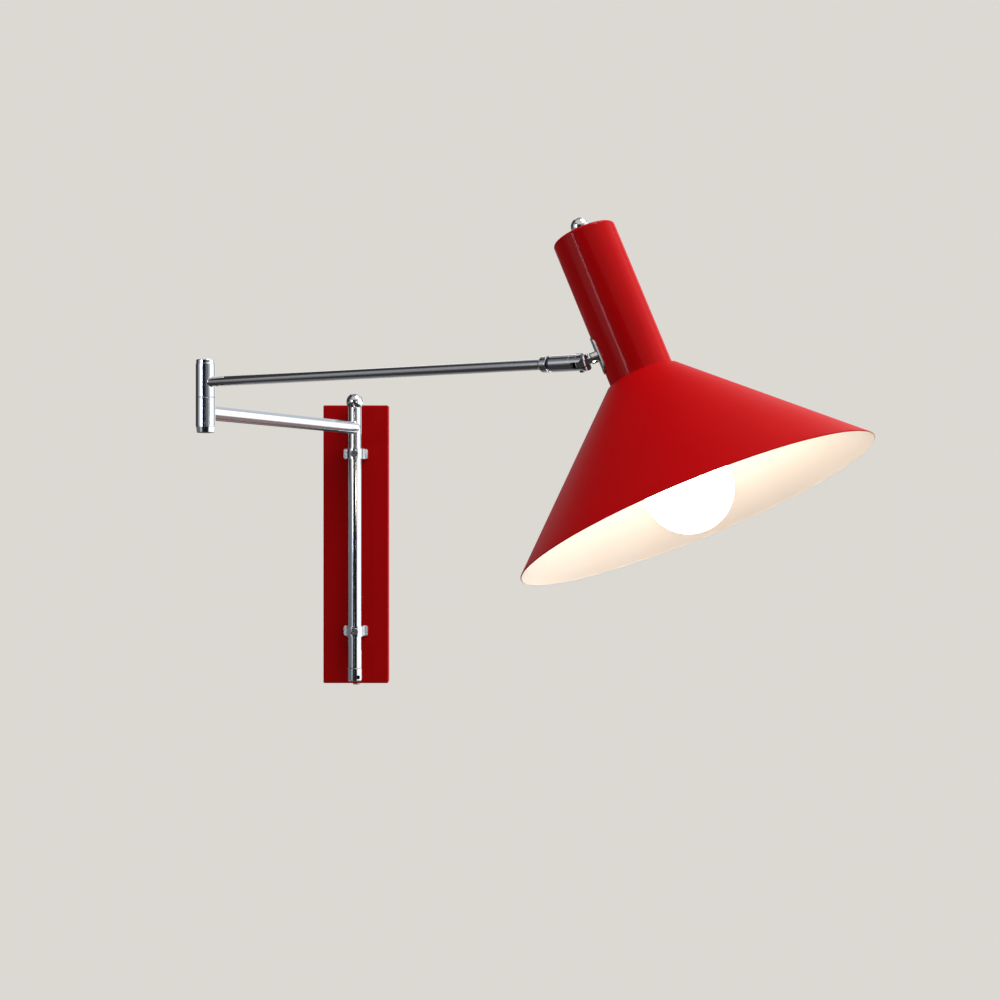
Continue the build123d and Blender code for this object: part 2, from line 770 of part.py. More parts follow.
# Arm collar: fixed on the tube, tapered towards the elbow
with BuildPart() as arm_collar:
    with BuildSketch(swivel_section):
        with BuildLine():
            Polyline(
                (upper_arm_radius + seat_gap, collar_begin),
                (upper_arm_radius + collar_nose, collar_begin),
                (swivel_radius, collar_begin + collar_taper),
                (swivel_radius, spacer_start - edge_break),
                (swivel_radius - edge_break, spacer_start),
                (upper_arm_radius + seat_gap, spacer_start),
                close=True,
            )
        make_face()
    revolve(axis=swivel_axis)
arm_collar.part.label = "arm_collar"

# Swivel spacer: the groove between the collar and the sleeve
with BuildPart() as swivel_spacer:
    with BuildSketch(arm_plane(upper_arm_start, upper_arm_way, spacer_start)):
        Circle(upper_arm_radius + spacer_wall)
        Circle(upper_arm_radius + seat_gap, mode=Mode.SUBTRACT)
    extrude(amount=spacer_length)
swivel_spacer.part.label = "swivel_spacer"

# Sleeve retainer: a ring on the tube's end that keeps the sleeve on
with BuildPart() as sleeve_retainer:
    with BuildSketch(arm_plane(upper_arm_start, upper_arm_way, retainer_start)):
        Circle(upper_arm_radius + retainer_wall)
        Circle(upper_arm_radius + seat_gap, mode=Mode.SUBTRACT)
    extrude(amount=retainer_length)
sleeve_retainer.part.label = "sleeve_retainer"

# Swivel sleeve: rolls on the upper arm tube, hollow for the retainer and the fork's plug
with BuildPart() as swivel_sleeve:
    with BuildSketch(swivel_section):
        with BuildLine():
            Polyline(
                (upper_arm_radius + running_gap, sleeve_start),
                (swivel_radius - edge_break, sleeve_start),
                (swivel_radius, sleeve_start + edge_break),
                (swivel_radius, fork_start),
                (sleeve_cavity, fork_start),
                (sleeve_cavity, bearing_end),
                (upper_arm_radius + running_gap, bearing_end),
                close=True,
            )
        make_face()
    revolve(axis=swivel_axis)
swivel_sleeve.part.label = "swivel_sleeve"

# Fork end: plugged into the sleeve, slotted for the tongue, with a flat for each end of the screw
with BuildPart() as fork_end:
    with BuildSketch(fork_side):
        Circle(fork_tip_radius)
        Rectangle(fork_setback, swivel_diameter, align=(Align.MAX, Align.CENTER))
    extrude(amount=swivel_radius, both=True)
    with BuildSketch(arm_plane(tilt_point, upper_arm_way, -fork_setback)):
        Circle(swivel_radius)
    extrude(amount=fork_setback + fork_tip_radius, mode=Mode.INTERSECT)
    with BuildSketch(arm_plane(tilt_point, upper_arm_way, -fork_setback)):
        Circle(sleeve_cavity - seat_gap)
    extrude(amount=-fork_plug_length)
    with BuildSketch(fork_side):
        with Locations((-slot_floor, 0)):
            Rectangle(
                slot_floor + swivel_diameter,
                2 * swivel_diameter,
                align=(Align.MIN, Align.CENTER),
            )
    extrude(amount=slot_half, both=True, mode=Mode.SUBTRACT)
    with BuildSketch(fork_side):
        Circle(tilt_screw_radius + seat_gap)
    extrude(amount=swivel_diameter, both=True, mode=Mode.SUBTRACT)
    for side in (tilt_seat, -tilt_seat):
        with BuildSketch(fork_side.offset(side)):
            Rectangle(tilt_flat, swivel_diameter)
        extrude(amount=side, mode=Mode.SUBTRACT)
fork_end.part.label = "fork_end"

# Tilt screw: the pin of the tilting joint, slotted head on top
with BuildPart() as tilt_screw:
    with BuildSketch(fork_side.offset(tilt_seat)):
        Circle(tilt_head_diameter / 2)
    extrude(amount=tilt_head_height)
    with BuildSketch(fork_side.offset(tilt_seat)):
        Circle(tilt_screw_radius)
    extrude(amount=-(2 * tilt_seat + tilt_head_height))
    with BuildSketch(fork_side.offset(tilt_seat + tilt_head_height)):
        Rectangle(tilt_head_diameter, screw_slot_width)
    extrude(amount=-screw_slot_depth, mode=Mode.SUBTRACT)
tilt_screw.part.label = "tilt_screw"

# Tilt nut: on the lower end of the tilt screw
with BuildPart() as tilt_nut:
    with BuildSketch(fork_side.offset(-tilt_seat)):
        RegularPolygon(tilt_head_diameter / 2, 6, major_radius=False)
        Circle(tilt_screw_radius + seat_gap, mode=Mode.SUBTRACT)
    extrude(amount=-tilt_head_height)
tilt_nut.part.label = "tilt_nut"

# Tilt washers: one each side of the tongue, against the fork's cheeks
with BuildPart() as tilt_washers:
    for side in (1, -1):
        with BuildSketch(fork_side.offset(side * slot_half)):
            Circle(tilt_washer_diameter / 2)
            Circle(tilt_screw_radius + running_gap, mode=Mode.SUBTRACT)
        extrude(amount=-side * tilt_washer_thickness)
tilt_washers.part.label = "tilt_washers"

# Tilt tongue: an eye on the tilt screw, a round collar and the stud that carries the shade
with BuildPart() as tilt_tongue:
    with BuildSketch(tongue_side):
        Circle(tongue_radius)
        Rectangle(collar_start, tongue_width, align=(Align.MIN, Align.CENTER))
        Circle(tilt_screw_radius + running_gap, mode=Mode.SUBTRACT)
    extrude(amount=tongue_thickness / 2, both=True)
    with BuildSketch(stud_face.offset(collar_start)):
        Circle(stud_collar_diameter / 2)
    extrude(amount=saddle_seat - collar_start)
    with BuildSketch(stud_face.offset(saddle_seat)):
        Circle(stud_radius)
    extrude(amount=stud_end - saddle_seat)
tilt_tongue.part.label = "tilt_tongue"

# Stud washer: a spring washer inside the neck
with BuildPart() as stud_washer:
    with BuildSketch(stud_face.offset(inner_saddle_face)):
        Circle(stud_washer_diameter / 2)
        Circle(stud_radius + running_gap, mode=Mode.SUBTRACT)
    extrude(amount=stud_washer_thickness)
stud_washer.part.label = "stud_washer"

# Stud nut: holds the neck on the stud
with BuildPart() as stud_nut:
    with BuildSketch(stud_face.offset(stud_nut_start)):
        RegularPolygon(stud_nut_flats / 2, 6, major_radius=False)
        Circle(stud_radius + seat_gap, mode=Mode.SUBTRACT)
    extrude(amount=stud_nut_height)
stud_nut.part.label = "stud_nut"

# Saddle washer: a curved plate on the neck's side, with a flat seat for the stud's collar
with BuildPart() as saddle_washer:
    with BuildSketch(stud_face.offset(saddle_seat)):
        SlotOverall(saddle_length, saddle_width)
    extrude(amount=neck_radius)
    with BuildSketch(Plane(origin=neck_foot, x_dir=stud_way, z_dir=neck_way)):
        Circle(neck_radius + saddle_thickness)
    extrude(amount=saddle_length, both=True, mode=Mode.INTERSECT)
    with BuildSketch(stud_face.offset(saddle_seat)):
        Circle(stud_collar_diameter / 2)
    extrude(amount=neck_radius)
    with BuildSketch(Plane(origin=neck_foot, x_dir=stud_way, z_dir=neck_way)):
        Circle(neck_radius + seat_gap)
    extrude(amount=saddle_length, both=True, mode=Mode.SUBTRACT)
    with BuildSketch(stud_face):
        Circle(stud_radius + running_gap)
    extrude(amount=neck_offset, mode=Mode.SUBTRACT)
saddle_washer.part.label = "saddle_washer"

# Inner saddle: fills the neck's curve so that the stud washer has a flat to bear on
with BuildPart() as inner_saddle:
    with BuildSketch(stud_face.offset(neck_stand_off)):
        Circle(inner_saddle_diameter / 2)
    extrude(amount=inner_saddle_face - neck_stand_off)
    with BuildSketch(Plane(origin=neck_foot, x_dir=stud_way, z_dir=neck_way)):
        Circle(neck_radius - neck_sheet - seat_gap)
    extrude(amount=inner_saddle_diameter, both=True, mode=Mode.INTERSECT)
    with BuildSketch(stud_face):
        Circle(stud_radius + running_gap)
    extrude(amount=neck_offset, mode=Mode.SUBTRACT)
inner_saddle.part.label = "inner_saddle"

# Shade neck: a spun can, closed at the top, with a small lip where it stands on the cone
with BuildPart() as shade_neck:
    with BuildSketch(neck_section):
        with BuildLine():
            inner_radius = neck_radius - neck_sheet
            Polyline(
                (nipple_radius + screw_hole_gap, neck_top),
                (neck_radius, neck_top),
                (neck_radius, cone_top + neck_sheet),
                (neck_radius + neck_lip, cone_top + neck_sheet),
                (neck_radius + neck_lip, cone_top),
                (inner_radius, cone_top),
                (inner_radius, neck_top - neck_sheet),
                (nipple_radius + screw_hole_gap, neck_top - neck_sheet),
                close=True,
            )
        make_face()
    revolve(axis=neck_axis)
    crown = shade_neck.edges().filter_by(GeomType.CIRCLE)
    crown = crown.filter_by(lambda edge: abs(edge.radius - neck_radius) < seat_gap)
    fillet(crown.sort_by(neck_axis)[-1], neck_edge_radius)
    inner_crown = shade_neck.edges().filter_by(GeomType.CIRCLE)
    inner_crown = inner_crown.filter_by(lambda edge: abs(edge.radius - inner_radius) < seat_gap)
    fillet(inner_crown.sort_by(neck_axis)[-1], neck_edge_radius - neck_sheet)
    with BuildSketch(stud_face):
        Circle(stud_radius + running_gap)
    extrude(amount=neck_offset, mode=Mode.SUBTRACT)
shade_neck.part.label = "shade_neck"

# Ball nut: closes the top of the neck
with BuildPart() as ball_nut:
    ball_nut_radius = ball_nut_diameter / 2
    ball_nut_centre = neck_top + ball_nut_rise
    ball_foot_height = ball_nut_centre - sqrt(ball_nut_radius**2 - (ball_nut_base / 2) ** 2)
    with BuildSketch(neck_section):
        with BuildLine():
            bore_top = neck_top + ball_nut_bore_depth
            Polyline(
                (nipple_radius + seat_gap, neck_top),
                (ball_nut_base / 2, neck_top),
                (ball_nut_base / 2, ball_foot_height),
            )
            ThreePointArc(
                (ball_nut_base / 2, ball_foot_height),
                (ball_nut_radius, ball_nut_centre),
                (0, ball_nut_centre + ball_nut_radius),
            )
            Polyline(
                (0, ball_nut_centre + ball_nut_radius),
                (0, bore_top),
                (nipple_radius + seat_gap, bore_top),
                (nipple_radius + seat_gap, neck_top),
            )
        make_face()
    revolve(axis=neck_axis)
ball_nut.part.label = "ball_nut"

# Nipple: the hollow threaded rod between the ball nut and the lampholder
with BuildPart() as nipple:
    nipple_bottom = boss_top - nipple_bite
    nipple_top = neck_top + ball_nut_bore_depth - free_gap
    with BuildSketch(Plane(origin=neck_foot + neck_way * nipple_bottom, x_dir=stud_way, z_dir=neck_way)):
        Circle(nipple_radius)
        Circle(nipple_bore / 2, mode=Mode.SUBTRACT)
    extrude(amount=nipple_top - nipple_bottom)
nipple.part.label = "nipple"

# Nipple nut: under the neck's top
with BuildPart() as nipple_nut:
    nut_top = neck_top - neck_sheet
    with BuildSketch(Plane(origin=neck_foot + neck_way * nut_top, x_dir=stud_way, z_dir=neck_way)):
        RegularPolygon(nipple_nut_flats / 2, 6, major_radius=False)
        Circle(nipple_radius + seat_gap, mode=Mode.SUBTRACT)
    extrude(amount=-nipple_nut_height)
nipple_nut.part.label = "nipple_nut"

# Shade cone: a spun sheet with a flat top clamped on the lampholder and a bead rolled round its rim
with BuildPart() as shade_cone:
    with BuildSketch(neck_section):
        with BuildLine():
            hole_radius = holder_radius + screw_hole_gap
            inner_top_radius = cone_top_diameter / 2 + cone_sheet * (cone_slope - cone_slant)
            inner_edge_radius = bead_ring - cone_sheet / cone_slant
            inner_edge_height = bead_height - cone_sheet * cone_slope / cone_slant
            Polyline(
                (hole_radius, cone_top),
                (cone_top_diameter / 2, cone_top),
                (bead_ring, bead_height),
                (inner_edge_radius, inner_edge_height),
                (inner_top_radius, cone_top - cone_sheet),
                (hole_radius, cone_top - cone_sheet),
                close=True,
            )
        make_face()
    revolve(axis=neck_axis)
    shoulder = shade_cone.edges().filter_by(GeomType.CIRCLE)
    shoulder = shoulder.filter_by(lambda edge: abs(edge.radius - cone_top_diameter / 2) < seat_gap)
    fillet(shoulder, cone_shoulder_radius)
    with BuildSketch(neck_section):
        with Locations((bead_ring, bead_height)):
            Circle(bead_radius)
    revolve(axis=neck_axis)
shade_cone.part.label = "shade_cone"

# Lampholder shell: its flange rests on the cone's top, its lower part takes the shade ring
with BuildPart() as lampholder_shell:
    with BuildSketch(neck_section):
        with BuildLine():
            Polyline(
                (holder_bore, holder_mouth),
                (holder_radius, holder_mouth),
                (holder_radius, cone_top),
                (holder_flange_diameter / 2, cone_top),
                (holder_flange_diameter / 2, holder_flange_top),
                (holder_bore, holder_flange_top),
                close=True,
            )
        make_face()
    revolve(axis=neck_axis)
lampholder_shell.part.label = "lampholder_shell"

# Lampholder cap: a hollow cone with a boss for the nipple
with BuildPart() as lampholder_cap:
    with BuildSketch(neck_section):
        with BuildLine():
            cap_shoulder = holder_flange_top + holder_cap_height
            boss_radius = holder_boss_diameter / 2
            thread_radius = nipple_radius + seat_gap
            Polyline(
                (holder_flange_diameter / 2 - holder_wall, holder_flange_top),
                (holder_flange_diameter / 2, holder_flange_top),
                (boss_radius, cap_shoulder),
                (boss_radius, boss_top),
                (thread_radius, boss_top),
                (thread_radius, cap_shoulder - holder_wall),
                (boss_radius - holder_wall, cap_shoulder - holder_wall),
                close=True,
            )
        make_face()
    revolve(axis=neck_axis)
lampholder_cap.part.label = "lampholder_cap"

# Lampholder core: a porcelain disc that carries the contacts
with BuildPart() as lampholder_core:
    with BuildSketch(Plane(origin=neck_foot + neck_way * core_bottom, x_dir=stud_way, z_dir=neck_way)):
        Circle(holder_bore - seat_gap)
    extrude(amount=core_height)
lampholder_core.part.label = "lampholder_core"

# Screw shell: the brass sleeve that the bulb's cap screws into
with BuildPart() as screw_shell:
    shell_bottom = holder_mouth + screw_shell_wall
    with BuildSketch(Plane(origin=neck_foot + neck_way * shell_bottom, x_dir=stud_way, z_dir=neck_way)):
        Circle(screw_shell_bore + screw_shell_wall)
        Circle(screw_shell_bore, mode=Mode.SUBTRACT)
    extrude(amount=core_bottom - shell_bottom)
screw_shell.part.label = "screw_shell"

# Centre contact: the disc that meets the bulb's tip
with BuildPart() as centre_contact:
    with BuildSketch(Plane(origin=neck_foot + neck_way * bulb_tip, x_dir=stud_way, z_dir=neck_way)):
        Circle(contact_diameter / 2)
    extrude(amount=contact_height)
centre_contact.part.label = "centre_contact"

# Shade ring: screwed on the lampholder from below, it clamps the cone
with BuildPart() as shade_ring:
    with BuildSketch(neck_section):
        with BuildLine():
            ring_top = cone_top - cone_sheet
            ring_bore = holder_radius + seat_gap
            Polyline(
                (ring_bore, ring_top),
                (shade_ring_flange / 2, ring_top),
                (shade_ring_flange / 2, ring_top - shade_ring_flange_height),
                (shade_ring_diameter / 2, ring_top - shade_ring_flange_height),
                (shade_ring_diameter / 2, ring_top - shade_ring_height),
                (ring_bore, ring_top - shade_ring_height),
                close=True,
            )
        make_face()
    revolve(axis=neck_axis)
shade_ring.part.label = "shade_ring"


def bulb_outline(inset):
    """Points of the bulb's outline, set in by a distance: pole, side, shoulder points and neck."""
    ball = globe_radius - inset
    neck = bulb_neck_diameter / 2 - inset
    curve = bulb_shoulder_radius + inset
    curve_rise = sqrt((ball + curve) ** 2 - (neck + curve) ** 2)
    join_x = (neck + curve) * ball / (ball + curve)
    join_y = globe_centre + curve_rise * ball / (ball + curve)
    centre = Vector(neck + curve, globe_centre + curve_rise)
    middle = (Vector(join_x, join_y) - centre).normalized() + Vector(-1, 0)
    pole = (0, globe_centre - ball)
    side = (ball, globe_centre)
    join = (join_x, join_y)
    bend = tuple(centre + middle.normalized() * curve)[:2]
    foot = (neck, globe_centre + curve_rise)
    return pole, side, join, bend, foot


# Bulb globe: a hollow glass ball with a neck in the cap
with BuildPart() as bulb_globe:
    with BuildSketch(neck_section):
        with BuildLine():
            pole, side_point, join, bend, foot = bulb_outline(0)
            in_pole, in_side, in_join, in_bend, in_foot = bulb_outline(glass_thickness)
            glass_top = bulb_cap_bottom + bulb_glass_bite
            ThreePointArc(pole, side_point, join)
            ThreePointArc(join, bend, foot)
            Polyline(foot, (foot[0], glass_top), (in_foot[0], glass_top), in_foot)
            ThreePointArc(in_foot, in_bend, in_join)
            ThreePointArc(in_join, in_side, in_pole)
            Line(in_pole, pole)
        make_face()
    revolve(axis=neck_axis)
bulb_globe.part.label = "bulb_globe"

# Bulb cap: the metal screw cap, a thin cup round the glass neck
with BuildPart() as bulb_cap:
    with BuildSketch(neck_section):
        with BuildLine():
            cup_radius = bulb_cap_radius - bulb_cap_sheet
            Polyline(
                (cup_radius, bulb_cap_bottom),
                (bulb_cap_radius, bulb_cap_bottom),
                (bulb_cap_radius, bulb_cap_top - insulator_height),
                (insulator_diameter / 2, bulb_cap_top),
                (0, bulb_cap_top),
                (0, bulb_cap_top - bulb_cap_sheet),
                (insulator_diameter / 2 - bulb_cap_sheet, bulb_cap_top - bulb_cap_sheet),
                (cup_radius, bulb_cap_top - insulator_height - bulb_cap_sheet),
                close=True,
            )
        make_face()
    revolve(axis=neck_axis)
bulb_cap.part.label = "bulb_cap"

# Bulb insulator: the black glass ring under the tip contact
with BuildPart() as bulb_insulator:
    with BuildSketch(neck_section):
        with BuildLine():
            Polyline(
                (0, bulb_cap_top),
                (insulator_diameter / 2, bulb_cap_top),
                (bulb_contact_diameter / 2, bulb_contact_bottom),
                (0, bulb_contact_bottom),
                close=True,
            )
        make_face()
    revolve(axis=neck_axis)
bulb_insulator.part.label = "bulb_insulator"

# Bulb contact: the tip
with BuildPart() as bulb_contact:
    contact_foot = neck_foot + neck_way * bulb_contact_bottom
    with BuildSketch(Plane(origin=contact_foot, x_dir=stud_way, z_dir=neck_way)):
        Circle(bulb_contact_diameter / 2)
    extrude(amount=bulb_contact_height)
bulb_contact.part.label = "bulb_contact"

# Files: one for each piece
wall_pieces = (
    mounting_strap,
    wall_plate,
    backing_plate,
    cover_screws,
    upper_clip,
    lower_clip,
    clip_rivets,
    upper_rod_rest,
    lower_rod_rest,
    rest_screws,
    friction_screws,
)
lower_arm_pieces = (
    upright_tube,
    ball_finial,
    end_bush,
    grip_screw,
    lower_arm_tube,
    elbow_lower_barrel,
    elbow_pivot,
    elbow_bottom_cap,
    elbow_friction_washer,
    elbow_spring_washer,
    elbow_pivot_nut,
)
upper_arm_pieces = (
    elbow_upper_barrel,
    elbow_top_cap,
    upper_arm_tube,
    arm_collar,
    swivel_spacer,
    sleeve_retainer,
)
swivel_pieces = (
    swivel_sleeve,
    fork_end,
    tilt_screw,
    tilt_nut,
    tilt_washers,
)
stud_pieces = (
    tilt_tongue,
    stud_washer,
    stud_nut,
)
head_pieces = (
    saddle_washer,
    inner_saddle,
    shade_neck,
    ball_nut,
    nipple,
    nipple_nut,
    shade_cone,
    lampholder_shell,
    lampholder_cap,
    lampholder_core,
    screw_shell,
    centre_contact,
    shade_ring,
    bulb_globe,
    bulb_cap,
    bulb_insulator,
    bulb_contact,
)
os.makedirs("parts", exist_ok=True)
for piece in wall_pieces + lower_arm_pieces + upper_arm_pieces + swivel_pieces + stud_pieces + head_pieces:
    export_step(piece.part, f"parts/{piece.part.label}.step")
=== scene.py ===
"""Adjustable wall lamp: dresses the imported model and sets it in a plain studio.

A red wall plate carries an upright chrome tube in two clips. Two chrome arms reach out from the tube to a
red spun shade with a lit globe bulb. Sizes are in millimetres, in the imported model's own frame.
"""
import json
import logging
from dataclasses import dataclass
from enum import Enum
from math import asin, atan2, ceil, cos, pi, radians, sin, sqrt, tan, tau
from typing import Any, Sequence

import bmesh
import bpy
from mathutils import Matrix, Vector


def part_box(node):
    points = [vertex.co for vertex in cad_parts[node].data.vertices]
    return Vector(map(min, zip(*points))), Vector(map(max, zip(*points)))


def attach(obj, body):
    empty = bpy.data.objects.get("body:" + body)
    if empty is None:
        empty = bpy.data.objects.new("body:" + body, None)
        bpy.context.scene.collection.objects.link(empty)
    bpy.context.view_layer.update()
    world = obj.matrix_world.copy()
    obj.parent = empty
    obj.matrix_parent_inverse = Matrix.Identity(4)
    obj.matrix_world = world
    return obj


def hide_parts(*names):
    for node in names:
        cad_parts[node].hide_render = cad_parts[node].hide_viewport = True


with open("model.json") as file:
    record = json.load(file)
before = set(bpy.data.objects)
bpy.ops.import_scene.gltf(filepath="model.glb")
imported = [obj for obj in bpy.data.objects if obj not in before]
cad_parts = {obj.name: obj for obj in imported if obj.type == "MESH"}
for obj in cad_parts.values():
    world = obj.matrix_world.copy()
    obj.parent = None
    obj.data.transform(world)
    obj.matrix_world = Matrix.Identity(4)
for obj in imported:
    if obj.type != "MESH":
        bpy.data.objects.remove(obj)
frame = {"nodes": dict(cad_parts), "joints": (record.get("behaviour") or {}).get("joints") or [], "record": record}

LOG = logging.getLogger("wall_lamp")
MM = 0.001
# Points closer than this, in millimetres, are one point
TINY = 0.001
# Longest step of a drawn arc
ARC_STEP = radians(9)
# Edges that bend by less than this are shaded smooth
SHARP_ANGLE = radians(38)
# Distance of an arc's guard points from its corner, as a share of the arc's own reach
GUARD = 1.3
# Braze at an arm's end: distance from the post and swell, as shares of the braze's size
BRAZE_FLARE = ((0.0, 1.0), (0.2, 0.6), (0.5, 0.25), (0.9, 0.06), (1.4, 0.0), (3.0, 0.0))
# Sides of the round ridges of the thread and the ribs
THREAD_SIDES = 10
RIB_SIDES = 12
UP = Vector((0, 0, 1))
RIGHT = Vector((1, 0, 0))
OUT = Vector((0, -1, 0))
Profile = list[tuple[float, float]]


class Body(Enum):
    """Bodies that carry the pieces built here."""

    WALL_BASE = "wall_base"
    LOWER_ARM = "lower_arm"
    UPPER_ARM = "upper_arm"
    SWIVEL = "swivel"
    HEAD = "head"


class Slot(Enum):
    """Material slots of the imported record."""

    RED_PAINT = "red_paint"
    CHROME = "chrome"
    ZINC_STEEL = "zinc_steel"
    BLACK_STEEL = "black_steel"
    NYLON = "nylon"
    BAKELITE = "bakelite"
    PORCELAIN = "porcelain"
    BRASS = "brass"
    LAMP_GLASS = "lamp_glass"
    CAP_METAL = "cap_metal"
    BLACK_GLASS = "black_glass"


# Small tools for colours, nodes and places


def linear(hex_colour: str) -> tuple[float, float, float, float]:
    """Turns an sRGB hex colour into a linear one.

    Args:
        hex_colour: six hex digits, red first.

    Returns:
        Red, green, blue and an alpha of 1.
    """
    channels = [int(hex_colour[i : i + 2], 16) / 255 for i in (0, 2, 4)]
    shades = [c / 12.92 if c <= 0.04045 else ((c + 0.055) / 1.055) ** 2.4 for c in channels]
    return (shades[0], shades[1], shades[2], 1.0)


def per_metre(size: float) -> float:
    """Texture scale of a pattern whose features are that many millimetres across."""
    return 1 / (size * MM)


def feed(node: bpy.types.Node, feeds: dict[str | int, Any]) -> None:
    """Sets or links a node's inputs.

    Args:
        node: the node.
        feeds: for each input, a constant, a socket, or a node that gives its first output.
    """
    for name, value in feeds.items():
        source = value.outputs[0] if isinstance(value, bpy.types.Node) else value
        if isinstance(source, bpy.types.NodeSocket):
            node.id_data.links.new(source, node.inputs[name])
        else:
            node.inputs[name].default_value = source


def add_node(
    tree: bpy.types.NodeTree,
    kind: str,
    settings: dict[str, Any] | None = None,
    feeds: dict[str | int, Any] | None = None,
) -> bpy.types.Node:
    """Adds a node to a tree.

    Args:
        tree: shader or geometry tree.
        kind: the node's type.
        settings: the node's own properties.
        feeds: what its inputs get.

    Returns:
        The new node.
    """
    node = tree.nodes.new(kind)
    for name, value in (settings or {}).items():
        setattr(node, name, value)
    feed(node, feeds or {})
    return node


def joint(name: str) -> dict[str, Any]:
    """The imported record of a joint."""
    return next(item for item in frame["joints"] if item["name"] == name)


def joint_point(name: str) -> Vector:
    """A joint's place, in millimetres."""
    return Vector(joint(name)["pos_m"]) / MM


def joint_way(name: str) -> Vector:
    """A joint's unit axis."""
    return Vector(joint(name)["axis"]).normalized()


def levels(node: str) -> tuple[float, float]:
    """Lowest and highest level of a CAD node, in millimetres."""
    low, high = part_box(node)
    return low.z / MM, high.z / MM


# Finishes


def start_material(name: str) -> tuple[bpy.types.Material, bpy.types.NodeTree, bpy.types.Node]:
    """Makes a plain node material.

    Args:
        name: the material's name.

    Returns:
        The material, its tree and its surface shader.
    """
    material = bpy.data.materials.new(name)
    material.use_nodes = True
    tree = material.node_tree
    return material, tree, tree.nodes["Principled BSDF"]


def drifting(
    name: str,
    colours: tuple[str, str],
    roughness: tuple[float, float],
    drift: dict[str, float],
    relief: dict[str, float],
    depth: float,
    stretch: tuple[float, float, float] | None = None,
    span: tuple[float, float] = (0.0, 1.0),
) -> tuple[bpy.types.Material, bpy.types.Node]:
    """Makes a material whose colour and roughness drift together, over a fine relief.

    Args:
        name: the material's name.
        colours: its colours where the drift is low and where it is high.
        roughness: its middle roughness, and how far it drifts to either side.
        drift: settings of the drift's noise.
        relief: settings of the relief's noise.
        depth: the relief's depth, in millimetres.
        stretch: how the drift is drawn out along each axis.
        span: levels of the noise where the roughness is least and most.

    Returns:
        The material and its surface shader.
    """
    material, tree, surface = start_material(name)
    place = add_node(tree, "ShaderNodeTexCoord").outputs["Object"]
    along = place
    if stretch:
        along = add_node(tree, "ShaderNodeMapping", feeds={"Vector": place, "Scale": stretch})
    level = add_node(tree, "ShaderNodeTexNoise", feeds={"Vector": along} | drift)
    tones = {0: level, 6: linear(colours[0]), 7: linear(colours[1])}
    colour = add_node(tree, "ShaderNodeMix", {"data_type": "RGBA"}, tones)
    middle, spread = roughness
    ends = {"From Min": span[0], "From Max": span[1], "To Min": middle - spread, "To Max": middle + spread}
    sheen = add_node(tree, "ShaderNodeMapRange", feeds={"Value": level} | ends)
    height = add_node(tree, "ShaderNodeTexNoise", feeds={"Vector": place} | relief)
    bumps = {"Strength": 1.0, "Distance": depth * MM, "Height": height}
    skin = add_node(tree, "ShaderNodeBump", feeds=bumps)
    feed(surface, {"Base Color": colour.outputs[2], "Roughness": sheen, "Normal": skin})
    return material, surface


@dataclass(frozen=True)
class Paint:
    """Enamel sprayed on sheet steel and baked: an even colour under a skin of orange peel."""

    name: str
    colour: str
    deep: str
    roughness: float
    roughness_spread: float
    specular: float
    coat: float = 0.0
    coat_roughness: float = 0.1
    peel_size: float = 1.8
    peel_depth: float = 0.006
    cloud_size: float = 45.0
    ior: float = 1.5

    def make(self) -> bpy.types.Material:
        """Makes the finish's material.

        Returns:
            The new material.
        """
        material, surface = drifting(
            self.name,
            (self.deep, self.colour),
            (self.roughness, self.roughness_spread),
            {"Scale": per_metre(self.cloud_size), "Detail": 3.0},
            {"Scale": per_metre(self.peel_size), "Detail": 1.0},
            self.peel_depth,
        )
        feed(surface, {"IOR": self.ior, "Specular IOR Level": self.specular})
        feed(surface, {"Coat Weight": self.coat, "Coat Roughness": self.coat_roughness})
        return material


@dataclass(frozen=True)
class Metal:
    """Bare or plated metal: its tint, how far it was polished, and the lines that the wheel left.

    The lines are drawn coarser than real ones, which would be too fine to show.
    """

    name: str
    colour: str
    dull: str
    roughness: float
    roughness_spread: float
    line_size: float
    line_stretch: tuple[float, float, float]
    wave_size: float
    wave_depth: float
    line_span: tuple[float, float] = (0.25, 0.75)

    def make(self) -> bpy.types.Material:
        """Makes the finish's material.

        Returns:
            The new material.
        """
        material, surface = drifting(
            self.name,
            (self.dull, self.colour),
            (self.roughness, self.roughness_spread),
            {"Scale": per_metre(self.line_size), "Detail": 3.0},
            {"Scale": per_metre(self.wave_size), "Detail": 1.0},
            self.wave_depth,
            self.line_stretch,
            self.line_span,
        )
        feed(surface, {"Metallic": 1.0})
        return material


@dataclass(frozen=True)
class Moulding:
    """Moulded or glazed insulator: a body colour with faint flow marks and a fine skin."""

    name: str
    colour: str
    flow: str
    roughness: float
    roughness_spread: float
    ior: float
    flow_size: float = 9.0
    grain_size: float = 0.6
    grain_depth: float = 0.01

    def make(self) -> bpy.types.Material:
        """Makes the finish's material.

        Returns:
            The new material.
        """
        material, surface = drifting(
            self.name,
            (self.colour, self.flow),
            (self.roughness, self.roughness_spread),
            {"Scale": per_metre(self.flow_size), "Detail": 4.0, "Distortion": 1.2},
            {"Scale": per_metre(self.grain_size), "Detail": 2.0},
            self.grain_depth,
        )
        feed(surface, {"IOR": self.ior})
        return material


